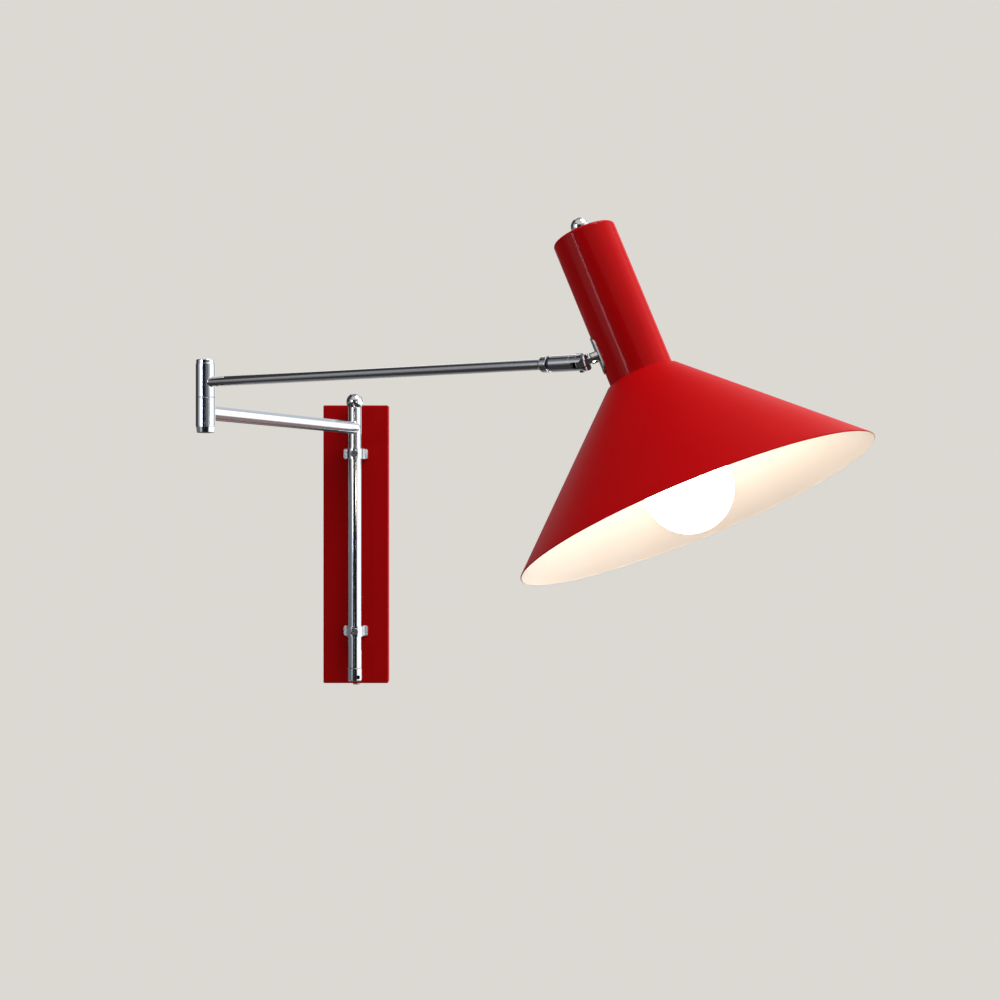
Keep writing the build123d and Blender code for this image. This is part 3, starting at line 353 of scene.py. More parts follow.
@dataclass(frozen=True)
class LitGlass:
    """Opal glass with the lamp on: the coating glows evenly, a little warmer in thicker patches."""

    name: str
    colour: str
    glow: str
    warm: str
    strength: float
    roughness: float = 0.12
    patch_size: float = 20.0
    ior: float = 1.52

    def make(self) -> bpy.types.Material:
        """Makes the finish's material.

        Returns:
            The new material.
        """
        material, tree, surface = start_material(self.name)
        place = add_node(tree, "ShaderNodeTexCoord").outputs["Object"]
        noise = {"Vector": place, "Scale": per_metre(self.patch_size), "Detail": 2.0}
        patch = add_node(tree, "ShaderNodeTexNoise", feeds=noise)
        tones = {0: patch, 6: linear(self.glow), 7: linear(self.warm)}
        light = add_node(tree, "ShaderNodeMix", {"data_type": "RGBA"}, tones)
        feed(surface, {"Emission Color": light.outputs[2], "Emission Strength": self.strength})
        feed(surface, {"Base Color": linear(self.colour), "Roughness": self.roughness, "IOR": self.ior})
        return material


class Finish(Enum):
    """Every finish on the lamp."""

    # Stove enamel on the neck: deep red under a hard shine that draws thin light lines
    RED_GLOSS = Paint("red stove enamel, gloss", "C8090E", "BE070C", 0.34, 0.04, 0.03, 0.12, 0.04)
    # The same enamel on the cone: the shine is broad and faint, so the colour stays full
    RED_SATIN = Paint("red stove enamel, satin", "C8090E", "BE070C", 0.46, 0.05, 0.03)
    # The same enamel made darker for the plate: painted shade, standing in for the weaker light that falls on the
    # plate
    RED_PAINTED_SHADE = Paint("red stove enamel, satin, darkened as painted shade", "B2080B", "A80709", 0.46, 0.05, 0.05)
    # Cream enamel inside the shade: dull, so that it spreads the light
    CREAM = Paint("cream stove enamel, matt", "F6EFE7", "F2E9DE", 0.55, 0.05, 0.3)
    # Chromium over polished steel tube: a cool mirror with a faint wave along the tube
    CHROME = Metal(
        "chromium plate, polished", "E2E3E6", "D6D8DC", 0.1, 0.03, 3.0, (1.0, 1.0, 0.3), 30.0, 0.004
    )
    # Zinc plate on pressed steel: grey, with dull streaks from the bath
    ZINC = Metal(
        "zinc plate, barrel plated", "B9BDC0", "A2A6AA", 0.36, 0.08, 1.5, (1.0, 1.0, 0.4), 12.0, 0.01
    )
    # Steel blackened in an oxide bath: near black, with the grey of the metal showing faintly
    BLACK_STEEL = Metal(
        "black oxide on steel", "26262A", "161618", 0.34, 0.06, 1.0, (1.0, 1.0, 0.5), 6.0, 0.01
    )
    # The same steel where a screwdriver has worn the black off: bright, with grey left in patches
    WORN_STEEL = Metal(
        "black oxide on steel, worn", "CACACE", "8E8E94", 0.15, 0.04, 1.0, (1.0, 1.0, 0.5), 6.0, 0.01
    )
    # Brass drawn and left bare: warm yellow, slightly dulled by handling
    BRASS = Metal("brass, drawn", "D2AE62", "B98F45", 0.28, 0.08, 1.2, (1.0, 1.0, 0.5), 9.0, 0.01)
    # Aluminium bulb cap: rolled thin sheet, pale and soft
    ALUMINIUM = Metal("aluminium, rolled", "D9DADC", "C6C8CB", 0.3, 0.07, 1.0, (1.0, 1.0, 0.4), 8.0, 0.01)
    # Nylon: dull black with a waxy skin
    NYLON = Moulding("black nylon, moulded", "1C1C1E", "232326", 0.5, 0.06, 1.53)
    # Urea lampholder: ivory, dense, with a soft shine from the mould
    BAKELITE = Moulding("ivory urea resin, moulded", "E2DACB", "D8CEBC", 0.32, 0.05, 1.55)
    # Glazed porcelain: white and wet looking
    PORCELAIN = Moulding("porcelain, glazed", "EDEAE2", "E4E0D6", 0.14, 0.03, 1.54, 12.0, 2.5, 0.01)
    # Black glass of the cap's insulator: smooth, with small sharp lights
    BLACK_GLASS = Moulding("black glass, pressed", "0B0B0D", "151518", 0.12, 0.03, 1.52, 6.0, 2.0, 0.01)
    # Opal bulb, lit: one warm white glow, with nothing seen inside
    OPAL = LitGlass("opal glass, lit", "F7F1E6", "FFF1E5", "FFEDDC", 10.8)

    def material(self) -> bpy.types.Material:
        """The finish as a material, made once."""
        return bpy.data.materials.get(self.value.name) or self.value.make()


SLOT_FINISH = {
    Slot.RED_PAINT: Finish.RED_GLOSS,
    Slot.CHROME: Finish.CHROME,
    Slot.ZINC_STEEL: Finish.ZINC,
    Slot.BLACK_STEEL: Finish.BLACK_STEEL,
    Slot.NYLON: Finish.NYLON,
    Slot.BAKELITE: Finish.BAKELITE,
    Slot.PORCELAIN: Finish.PORCELAIN,
    Slot.BRASS: Finish.BRASS,
    Slot.LAMP_GLASS: Finish.OPAL,
    Slot.CAP_METAL: Finish.ALUMINIUM,
    Slot.BLACK_GLASS: Finish.BLACK_GLASS,
}
# The plate takes the darkened enamel, a painted shade
NODE_FINISH = {"wall_plate": Finish.RED_PAINTED_SHADE}
# The chrome's bands in the photo show neither of these, so mirrors pass them by
UNMIRRORED = {"wall_plate", "shade_cone_spun"}


# Turned meshes


@dataclass(frozen=True)
class Spindle:
    """A line that pieces are turned about.

    Attributes:
        foot: the line's zero height, in millimetres.
        way: unit direction of rising height.
        side: unit direction, square to way, where turn is zero.
    """

    foot: Vector
    way: Vector
    side: Vector

    def at(self, height: float, radius: float = 0.0, turn: float = 0.0) -> Vector:
        """A point beside the line.

        Args:
            height: distance along the line, in millimetres.
            radius: distance from the line, in millimetres.
            turn: angle about the line, in radians.

        Returns:
            The point, in metres.
        """
        across = self.side * cos(turn) + self.way.cross(self.side) * sin(turn)
        return (self.foot + self.way * height + across * radius) * MM

    def matrix(self, height: float) -> Matrix:
        """Places a mesh made on the world's Z axis, in metres, at a height on this line."""
        turn = Matrix((self.side, self.way.cross(self.side), self.way)).transposed().to_4x4()
        return Matrix.Translation(self.at(height)) @ turn


# The world's Z axis, on which fasteners are made before they are repeated
AXIS = Spindle(Vector((0, 0, 0)), UP, RIGHT)


@dataclass(frozen=True)
class Corner:
    """A corner of a turned section, with the radius that rounds it, in millimetres."""

    radius: float
    height: float
    round: float = 0.0


def arc(centre: tuple[float, float], radius: float, start: float, sweep: float) -> Profile:
    """Points of an arc in a turned section.

    Args:
        centre: the arc's centre, as radius and height.
        radius: the arc's own radius.
        start: first angle, in radians, from the outward direction.
        sweep: signed angle of the arc, in radians.

    Returns:
        The points, both ends included.
    """
    steps = max(2, ceil(abs(sweep) / ARC_STEP))
    angles = [start + sweep * step / steps for step in range(steps + 1)]
    return [(centre[0] + radius * cos(angle), centre[1] + radius * sin(angle)) for angle in angles]


def rounded(*corners: Corner, closed: bool = False) -> Profile:
    """Rounds the corners of a turned section.

    Args:
        corners: the section's corners in order.
        closed: whether the last corner joins the first.

    Returns:
        The section's points. Each arc has a guard point before and after it, which keeps the flats flat.
    """
    points: Profile = []
    count = len(corners)
    for index, corner in enumerate(corners):
        here = Vector((corner.radius, corner.height))
        at_end = not closed and index in (0, count - 1)
        if at_end or corner.round == 0:
            points.append((here.x, here.y))
            continue
        last, following = corners[index - 1], corners[(index + 1) % count]
        back = (Vector((last.radius, last.height)) - here).normalized()
        ahead = (Vector((following.radius, following.height)) - here).normalized()
        half = back.angle(ahead) / 2
        cut = corner.round / tan(half)
        centre = here + (back + ahead).normalized() * (corner.round / sin(half))
        first = here + back * cut - centre
        final = here + ahead * cut - centre
        sweep = atan2(first.x * final.y - first.y * final.x, first.dot(final))
        guard = cut * GUARD
        points.append(tuple(here + back * guard))
        points += arc((centre.x, centre.y), corner.round, atan2(first.y, first.x), sweep)
        points.append(tuple(here + ahead * guard))
    return points


def finished(name: str, shape: bmesh.types.BMesh, *finishes: Finish) -> bpy.types.Object:
    """Turns a bmesh into an object of the scene, smooth between its sharp edges.

    Args:
        name: the piece's name.
        shape: the mesh, in metres, used up by this call.
        finishes: the finishes of its material slots.

    Returns:
        The new object.
    """
    for face in shape.faces:
        face.smooth = True
    for edge in shape.edges:
        edge.smooth = len(edge.link_faces) != 2 or edge.calc_face_angle(0.0) < SHARP_ANGLE
    mesh = bpy.data.meshes.new(name)
    shape.to_mesh(mesh)
    shape.free()
    for finish in finishes:
        mesh.materials.append(finish.material())
    piece = bpy.data.objects.new(name, mesh)
    piece.visible_glossy = name not in UNMIRRORED
    bpy.context.scene.collection.objects.link(piece)
    return piece


def skin(shape: bmesh.types.BMesh, rings: Sequence[list[bmesh.types.BMVert]], closed: bool) -> None:
    """Joins rings of vertices with faces.

    Args:
        shape: the mesh that holds the rings.
        rings: rings in order; a ring of one vertex is a pole.
        closed: whether the last ring joins the first.
    """
    following = list(rings[1:]) + ([rings[0]] if closed else [])
    for lower, upper in zip(rings, following):
        count = max(len(lower), len(upper))
        if count == 1:
            continue
        for index in range(count):
            step = (index + 1) % count
            corners = [lower[index % len(lower)], lower[step % len(lower)]]
            corners += [upper[step % len(upper)], upper[index % len(upper)]]
            shape.faces.new(list(dict.fromkeys(corners)))
    bmesh.ops.recalc_face_normals(shape, faces=shape.faces)


def turned(spindle: Spindle, profile: Profile, segments: int, closed: bool = False) -> bmesh.types.BMesh:
    """Turns a section about a line.

    Args:
        spindle: the line.
        profile: points of the section, as radius and height.
        segments: number of faces round the line.
        closed: whether the section is a closed loop that stays off the line.

    Returns:
        The turned mesh.
    """
    shape = bmesh.new()
    rings = []
    for radius, height in profile:
        turns = [tau * k / segments for k in range(segments)] if radius > TINY else [0.0]
        rings.append([shape.verts.new(spindle.at(height, radius, turn)) for turn in turns])
    skin(shape, rings, closed)
    return shape


def deliver(piece: bpy.types.Object, body: Body, slot: Slot, *nodes: str) -> None:
    """Hangs a finished piece on its body and hides the CAD nodes that it stands for.

    Args:
        piece: the piece.
        body: the body that carries it.
        slot: the record's material slot; not used.
        nodes: CAD nodes that it stands for.
    """
    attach(piece, body.value)
    if nodes:
        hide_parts(*nodes)
    LOG.info("%s rides on %s, %d faces", piece.name, body.value, len(piece.data.polygons))


@dataclass(frozen=True)
class Turning:
    """A turned piece that stands for one CAD node."""

    node: str
    body: Body
    finish: Finish = Finish.CHROME
    slot: Slot = Slot.CHROME
    segments: int = 96

    def build(self, spindle: Spindle, profile: Profile, closed: bool = True) -> None:
        """Turns the piece and hands it over.

        Args:
            spindle: the line that it is turned about.
            profile: points of its section, as radius and height.
            closed: whether the section is a closed loop that stays off the line.
        """
        shape = turned(spindle, profile, self.segments, closed)
        piece = finished(self.node + "_turned", shape, self.finish)
        deliver(piece, self.body, self.slot, self.node)


# Geometry node trees for what repeats


def start_tree(name: str, **inputs: Sequence[str]) -> tuple[bpy.types.NodeTree, bpy.types.NodeOutputs]:
    """Makes an empty geometry tree, with an input for its material.

    Args:
        name: the tree's name.
        inputs: names of its other inputs, for each kind of socket.

    Returns:
        The tree and its given sockets.
    """
    tree = bpy.data.node_groups.new(name, "GeometryNodeTree")
    for kind, labels in ({"Geometry": ["Geometry"]} | inputs | {"Material": ["Material"]}).items():
        for label in labels:
            tree.interface.new_socket(label, in_out="INPUT", socket_type="NodeSocket" + kind)
    tree.interface.new_socket("Geometry", in_out="OUTPUT", socket_type="NodeSocketGeometry")
    return tree, add_node(tree, "NodeGroupInput").outputs


def end_tree(tree: bpy.types.NodeTree, geometry: bpy.types.Node, material: bpy.types.NodeSocket) -> None:
    """Ends a geometry tree with real geometry in its finish.

    Args:
        tree: the tree.
        geometry: the node that made the geometry.
        material: the socket that gives the finish.
    """
    real = add_node(tree, "GeometryNodeRealizeInstances", feeds={"Geometry": geometry})
    dressed = add_node(tree, "GeometryNodeSetMaterial", feeds={"Geometry": real, "Material": material})
    add_node(tree, "NodeGroupOutput", feeds={"Geometry": dressed})


def fastener_tree() -> bpy.types.NodeTree:
    """Sets a screw or rivet on each point, with one slot, two crossed slots or none in its head.

    Returns:
        The geometry tree.
    """
    sizes = ["Head Height", "Slot Length", "Slot Width", "Slot Depth", "Slot Turn"]
    tree, given = start_tree(
        "fasteners on points", Object=["Fastener"], Float=sizes, Bool=["Slotted", "Crossed"]
    )
    source = add_node(tree, "GeometryNodeObjectInfo", feeds={"Object": given["Fastener"]})
    heads = [source.outputs["Geometry"]]
    depth = add_node(tree, "ShaderNodeMath", {"operation": "MULTIPLY"}, {0: given["Slot Depth"], 1: 2.0})
    sides = {"X": given["Slot Length"], "Y": given["Slot Width"], "Z": depth}
    size = add_node(tree, "ShaderNodeCombineXYZ", feeds=sides)
    top = add_node(tree, "ShaderNodeCombineXYZ", feeds={"Z": given["Head Height"]})
    cutter = add_node(tree, "GeometryNodeMeshCube", feeds={"Size": size})
    for quarter in (0.0, pi / 2):
        turn = add_node(tree, "ShaderNodeMath", {"operation": "ADD"}, {0: given["Slot Turn"], 1: quarter})
        spin = add_node(tree, "ShaderNodeCombineXYZ", feeds={"Z": turn})
        moved = {"Geometry": cutter, "Translation": top, "Rotation": spin}
        slot = add_node(tree, "GeometryNodeTransform", feeds=moved)
        meshes = {"Mesh 1": heads[-1], "Mesh 2": slot}
        heads.append(add_node(tree, "GeometryNodeMeshBoolean", {"operation": "DIFFERENCE"}, meshes))
    head = heads[2]
    for choice, other in (("Crossed", heads[1]), ("Slotted", heads[0])):
        options = {"Switch": given[choice], "False": other, "True": head}
        head = add_node(tree, "GeometryNodeSwitch", {"input_type": "GEOMETRY"}, options)
    way = add_node(tree, "GeometryNodeInputNamedAttribute", {"data_type": "FLOAT_VECTOR"}, {"Name": "way"})
    aim = add_node(tree, "FunctionNodeAlignRotationToVector", {"axis": "Z"}, {"Vector": way})
    row = {"Points": given["Geometry"], "Instance": head, "Rotation": aim}
    end_tree(tree, add_node(tree, "GeometryNodeInstanceOnPoints", feeds=row), given["Material"])
    return tree


def ridge_along(path: bpy.types.Node, radius: bpy.types.NodeSocket, sides: int) -> bpy.types.Node:
    """Runs a round ridge along a curve.

    Args:
        path: the node that made the curve.
        radius: the socket that gives the ridge's radius.
        sides: number of faces round the ridge.

    Returns:
        The node that makes the ridge.
    """
    tree = path.id_data
    circle = {"Resolution": sides, "Radius": radius}
    section = add_node(tree, "GeometryNodeCurvePrimitiveCircle", feeds=circle)
    swept = {"Curve": path, "Profile Curve": section, "Fill Caps": True}
    return add_node(tree, "GeometryNodeCurveToMesh", feeds=swept)


def thread_tree() -> bpy.types.NodeTree:
    """Winds a round thread on the Z axis, rising from zero.

    Returns:
        The geometry tree.
    """
    tree, given = start_tree("round thread", Float=["Radius", "Rise", "Turns", "Ridge"], Int=["Steps"])
    helix = {
        "Resolution": given["Steps"],
        "Rotations": given["Turns"],
        "Start Radius": given["Radius"],
        "End Radius": given["Radius"],
        "Height": given["Rise"],
    }
    path = add_node(tree, "GeometryNodeCurveSpiral", feeds=helix)
    end_tree(tree, ridge_along(path, given["Ridge"], THREAD_SIDES), given["Material"])
    return tree


def rib_tree() -> bpy.types.NodeTree:
    """Stands round ribs in a circle about the Z axis, rising from zero.

    Returns:
        The geometry tree.
    """
    tree, given = start_tree("ribs in a circle", Float=["Radius", "Rise", "Ridge"], Int=["Count"])
    places = {"Vertices": given["Count"], "Radius": given["Radius"]}
    circle = add_node(tree, "GeometryNodeMeshCircle", feeds=places)
    top = add_node(tree, "ShaderNodeCombineXYZ", feeds={"Z": given["Rise"]})
    path = add_node(tree, "GeometryNodeCurvePrimitiveLine", feeds={"End": top})
    row = {"Points": circle, "Instance": ridge_along(path, given["Ridge"], RIB_SIDES)}
    end_tree(tree, add_node(tree, "GeometryNodeInstanceOnPoints", feeds=row), given["Material"])
    return tree


def grown(
    name: str,
    tree: bpy.types.NodeTree,
    values: dict[str, Any],
    points: Sequence[tuple[Vector, Vector]] = (),
    place: Matrix | None = None,
) -> bpy.types.Object:
    """Runs a geometry tree and keeps what it makes as a plain mesh.

    Args:
        name: the piece's name.
        tree: the geometry tree.
        values: a value for each named input.
        points: places in metres and directions that the tree works on.
        place: where the result goes, if it is made at the origin.

    Returns:
        The new piece.
    """
    mesh = bpy.data.meshes.new(name + "_points")
    mesh.from_pydata([point for point, _ in points], [], [])
    ways = mesh.attributes.new("way", "FLOAT_VECTOR", "POINT")
    for index, (_, way) in enumerate(points):
        ways.data[index].vector = way
    carrier = bpy.data.objects.new(name + "_points", mesh)
    bpy.context.scene.collection.objects.link(carrier)
    modifier = carrier.modifiers.new("grow", "NODES")
    modifier.node_group = tree
    for item in tree.interface.items_tree:
        if item.in_out == "INPUT" and item.name in values:
            modifier[item.identifier] = values[item.name]
    graph = bpy.context.evaluated_depsgraph_get()
    made = bpy.data.meshes.new_from_object(carrier.evaluated_get(graph), depsgraph=graph)
    carrier.modifiers.remove(modifier)
    bpy.data.objects.remove(carrier)
    shape = bmesh.new()
    shape.from_mesh(made)
    if place is not None:
        bmesh.ops.transform(shape, matrix=place, verts=shape.verts)
    bmesh.ops.remove_doubles(shape, verts=shape.verts, dist=TINY * MM)
    bmesh.ops.recalc_face_normals(shape, faces=shape.faces)
    piece = finished(name, shape)
    for material in made.materials:
        piece.data.materials.append(material)
    return piece


# Lines of the lamp


@dataclass(frozen=True)
class Lines:
    """The straight lines that the lamp's turned pieces follow, taken from its joints.

    Attributes:
        neck_offset: distance of the neck's line from its stud's joint, in millimetres.
        head_lean: how far the neck leans to the left, in degrees.
        head_tip: how far it tips towards the wall, in degrees.
    """

    neck_offset: float = 35.95
    head_lean: float = 21.6
    head_tip: float = 10.9

    def upright(self, name: str) -> Spindle:
        """An upright joint's line, from the origin's level."""
        place = joint_point(name)
        return Spindle(Vector((place.x, place.y, 0)), UP, RIGHT)

    @property
    def rod(self) -> Spindle:
        """The upright tube's line."""
        return self.upright("rod_swivel")

    @property
    def elbow(self) -> Spindle:
        """The elbow's line."""
        return self.upright("elbow_swivel")

    @property
    def lower_arm(self) -> Spindle:
        """The lower arm's line.

        Returns:
            The line from the upright tube's middle to the elbow.
        """
        low, high = levels("lower_arm_tube")
        way = (self.elbow.foot - self.rod.foot).normalized()
        return Spindle(self.rod.foot + UP * (low + high) / 2, way, UP)

    @property
    def upper_arm(self) -> Spindle:
        """The upper arm's line, from the elbow's middle."""
        tip = joint_point("sleeve_roll")
        return Spindle(self.elbow.foot + UP * tip.z, joint_way("sleeve_roll"), UP)

    @property
    def neck(self) -> Spindle:
        """The shade's line.

        Returns:
            The neck's middle line, rising from the level of its stud.
        """
        lean, tip = radians(self.head_lean), radians(self.head_tip)
        way = Vector((-sin(lean) * cos(tip), sin(tip), cos(lean) * cos(tip)))
        side = joint_way("head_turn")
        return Spindle(joint_point("head_turn") + side * self.neck_offset, way, side)


LINES = Lines()


# Sub-assemblies


@dataclass(frozen=True)
class WallBase:
    """The screws and rivets that hold the plate on the wall and the clips on the plate."""

    rivet_head: float = 1.3
    rivet_rise: float = 0.7
    rivet_sink: float = 0.7
    rivet_shank: float = 0.8
    friction_head: float = 3.8
    head_height: float = 2.0
    screw_shank: float = 2.0
    slot_width: float = 1.0
    slot_depth: float = 1.0
    cross_length: float = 5.4
    cross_turn: float = 45.0
    head_edge: float = 0.5
    cover_head: float = 3.5
    cover_grip: float = 4.2
    cover_turn: float = 20.0
    segments: int = 48

    def screw(self, name: str, head: float, shank_length: float) -> bpy.types.Object:
        """A pan head screw on the Z axis, with the underside of its head at zero.

        Args:
            name: the pattern's name.
            head: the head's radius.
            shank_length: how far the shank reaches down.

        Returns:
            The screw, which the fastener tree repeats.
        """
        section = rounded(
            Corner(0, -shank_length),
            Corner(self.screw_shank, -shank_length, self.head_edge / 2),
            Corner(self.screw_shank, 0),
            Corner(head, 0, self.head_edge / 4),
            Corner(head, self.head_height, self.head_edge),
            Corner(0, self.head_height),
        )
        return finished(name, turned(AXIS, section, self.segments))

    def rivet(self, grip: float) -> bpy.types.Object:
        """A rivet on the Z axis, sunk flush at zero, with a low dome at its far end.

        Args:
            grip: distance from its flush end to the foot of its dome.

        Returns:
            The rivet, which the fastener tree repeats.
        """
        ball = (self.rivet_head**2 + self.rivet_rise**2) / (2 * self.rivet_rise)
        sweep = atan2(self.rivet_head, ball - self.rivet_rise)
        dome = arc((0, -grip - self.rivet_rise + ball), ball, -pi / 2, sweep)
        shank = [(self.rivet_shank, -grip), (self.rivet_shank, -self.rivet_sink)]
        head = [(self.rivet_head, 0.0), (0.0, 0.0)]
        return finished("rivet_pattern", turned(AXIS, dome + shank + head, self.segments))

    def slots(self, length: float, turn: float, crossed: bool) -> dict[str, Any]:
        """The fastener tree's values for a slotted head.

        Args:
            length: the slot's length.
            turn: its angle on the head, in degrees.
            crossed: whether a second slot crosses it.

        Returns:
            A value for each input.
        """
        return {
            "Head Height": self.head_height * MM,
            "Slot Length": length * MM,
            "Slot Width": self.slot_width * MM,
            "Slot Depth": self.slot_depth * MM,
            "Slot Turn": radians(turn),
            "Slotted": True,
            "Crossed": crossed,
        }

    def repeat(
        self,
        tree: bpy.types.NodeTree,
        names: tuple[str, str],
        pattern: bpy.types.Object,
        dress: tuple[Finish, Slot],
        values: dict[str, Any],
        points: list[tuple[Vector, Vector]],
    ) -> None:
        """Repeats a fastener on points and hands the row over.

        Args:
            tree: the fastener tree.
            names: the CAD node that the row stands for, and the row's own name.
            pattern: the fastener, used up by this call.
            dress: its finish and the record's material slot.
            values: the tree's values for its head.
            points: where the fasteners sit, in metres, and which way they face.
        """
        node, name = names
        finish, slot = dress
        values = values | {"Fastener": pattern, "Material": finish.material()}
        row = grown(name, tree, values, points)
        bpy.data.objects.remove(pattern)
        deliver(row, Body.WALL_BASE, slot, node)

    def build(self) -> None:
        """Builds the friction screws, the cover screws and the clip rivets."""
        tree = fastener_tree()
        low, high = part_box("friction_screws")
        seat = low.y + self.head_height * MM
        head = self.friction_head * MM
        screw = self.screw("friction_screw_pattern", self.friction_head, (high.y - seat) / MM)
        cross = self.slots(self.cross_length, self.cross_turn, True)
        points = [(Vector((0, seat, level)), OUT) for level in (low.z + head, high.z - head)]
        names = ("friction_screws", "friction_screws_cross")
        self.repeat(tree, names, screw, (Finish.WORN_STEEL, Slot.BLACK_STEEL), cross, points)

        low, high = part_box("cover_screws")
        middle = (low.y + high.y) / 2
        lift = self.head_height * MM
        screw = self.screw("cover_screw_pattern", self.cover_head, self.cover_grip)
        slot = self.slots(2 * self.cover_head, self.cover_turn, False)
        points = [(Vector((0, middle, high.z - lift)), UP), (Vector((0, middle, low.z + lift)), -UP)]
        names = ("cover_screws", "cover_screws_slotted")
        self.repeat(tree, names, screw, (Finish.ZINC, Slot.ZINC_STEEL), slot, points)

        low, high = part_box("clip_rivets")
        head = self.rivet_head * MM
        rivet = self.rivet((high.y - low.y) / MM - self.rivet_rise)
        across, up = (low.x + head, high.x - head), (low.z + head, high.z - head)
        points = [(Vector((x, low.y, z)), OUT) for x in across for z in up]
        plain = {"Slotted": False, "Crossed": False}
        names = ("clip_rivets", "clip_rivets_flush")
        self.repeat(tree, names, rivet, (Finish.CHROME, Slot.ZINC_STEEL), plain, points)


@dataclass(frozen=True)
class UprightRod:
    """The upright tube with its ball."""

    radius: float = 6.5
    wall: float = 1.5
    ball_radius: float = 8.6
    spigot: float = 8.0
    seat: float = 0.03
    edge: float = 0.4

    def build(self) -> None:
        """Builds the tube and the ball on its top."""
        low, high = levels("upright_tube")
        bore = self.radius - self.wall
        tube = rounded(
            Corner(bore, low),
            Corner(self.radius, low, self.edge),
            Corner(self.radius, high, self.edge),
            Corner(bore, high),
            closed=True,
        )
        Turning("upright_tube", Body.LOWER_ARM).build(LINES.rod, tube)
        lift = sqrt(self.ball_radius**2 - self.radius**2)
        foot = -atan2(lift, self.radius)
        plug = bore - self.seat
        ball = [(0.0, high - self.spigot), (plug, high - self.spigot), (plug, high)]
        ball += arc((0, high + lift), self.ball_radius, foot, pi / 2 - foot)
        Turning("ball_finial", Body.LOWER_ARM).build(LINES.rod, ball, closed=False)


@dataclass(frozen=True)
class ArmTube:
    """A straight tube whose ends are cut to sit on round posts and filled with braze.

    Attributes:
        start_post: radius of the post at its start.
        end_post: radius of the post at its end, or zero for a square end.
    """

    node: str
    body: Body
    radius: float
    wall: float
    length: float
    start_post: float
    end_post: float
    braze: float = 0.4
    segments: int = 96

    def ring(self, spindle: Spindle, radius: float, offset: float, post: float, far: bool) -> list[Vector]:
        """One ring of the tube near an end.

        Args:
            spindle: the tube's line.
            radius: the ring's radius.
            offset: how far it stands from the post.
            post: radius of the post, or zero.
            far: whether the post is at the far end.

        Returns:
            The ring's points.
        """
        points = []
        for index in range(self.segments):
            turn = tau * index / self.segments
            across = radius * sin(turn)
            reach = (sqrt(post**2 - across**2) if post else 0.0) + offset
            points.append(spindle.at(self.length - reach if far else reach, radius, turn))
        return points

    def build(self, spindle: Spindle) -> None:
        """Builds the tube.

        Args:
            spindle: the tube's line.
        """
        shape = bmesh.new()
        bore = self.radius - self.wall
        flare = [(share * self.braze, self.radius + swell * self.braze) for share, swell in BRAZE_FLARE]
        outside = [self.ring(spindle, radius, offset, self.start_post, False) for offset, radius in flare]
        if self.end_post:
            ends = [self.ring(spindle, radius, offset, self.end_post, True) for offset, radius in flare]
            outside += ends[::-1]
        else:
            outside += [self.ring(spindle, self.radius, 0.0, 0.0, True)]
        inside = [
            self.ring(spindle, bore, 0.0, self.end_post, True),
            self.ring(spindle, bore, 0.0, self.start_post, False),
        ]
        rings = [[shape.verts.new(point) for point in ring] for ring in outside + inside]
        skin(shape, rings, True)
        piece = finished(self.node + "_brazed", shape, Finish.CHROME)
        deliver(piece, self.body, Slot.CHROME, self.node)


@dataclass(frozen=True)
class Elbow:
    """The elbow's two barrels and their caps."""

    radius: float = 8.1
    cavity: float = 6.35
    cap_fit: float = 0.03
    cap_inset: float = 0.4
    cap_bevel: float = 0.8
    bottom_taper: float = 1.0
    bottom_cap: float = 5.2
    plug: float = 2.47
    edge: float = 0.3

    def barrel(self, node: str, body: Body) -> None:
        """Builds one barrel as a closed wall.

        Args:
            node: the CAD node that it stands for.
            body: the body that carries it.
        """
        low, high = levels(node)
        wall = rounded(
            Corner(self.cavity, low),
            Corner(self.radius, low, self.edge / 2),
            Corner(self.radius, high, self.edge),
            Corner(self.cavity, high),
            closed=True,
        )
        Turning(node, body).build(LINES.elbow, wall)

    def build(self) -> None:
        """Builds the barrels and the caps."""
        self.barrel("elbow_lower_barrel", Body.LOWER_ARM)
        self.barrel("elbow_upper_barrel", Body.UPPER_ARM)
        seat = self.radius - self.cap_inset
        low, high = levels("elbow_top_cap")
        rim = levels("elbow_upper_barrel")[1]
        top = rounded(
            Corner(0, low),
            Corner(self.cavity - self.cap_fit, low),
            Corner(self.cavity - self.cap_fit, rim),
            Corner(seat, rim),
            Corner(seat, high, self.cap_bevel),
            Corner(0, high),
        )
        Turning("elbow_top_cap", Body.UPPER_ARM).build(LINES.elbow, top, closed=False)
        low, high = levels("elbow_bottom_cap")
        rim = low + self.bottom_cap
        bottom = rounded(
            Corner(0, high),
            Corner(self.plug, high),
            Corner(self.plug, rim),
            Corner(seat, rim),
            Corner(seat, rim - self.cap_inset, self.edge),
            Corner(self.radius - self.bottom_taper, low, self.cap_bevel),
            Corner(0, low),
        )
        Turning("elbow_bottom_cap", Body.LOWER_ARM).build(LINES.elbow, bottom, closed=False)


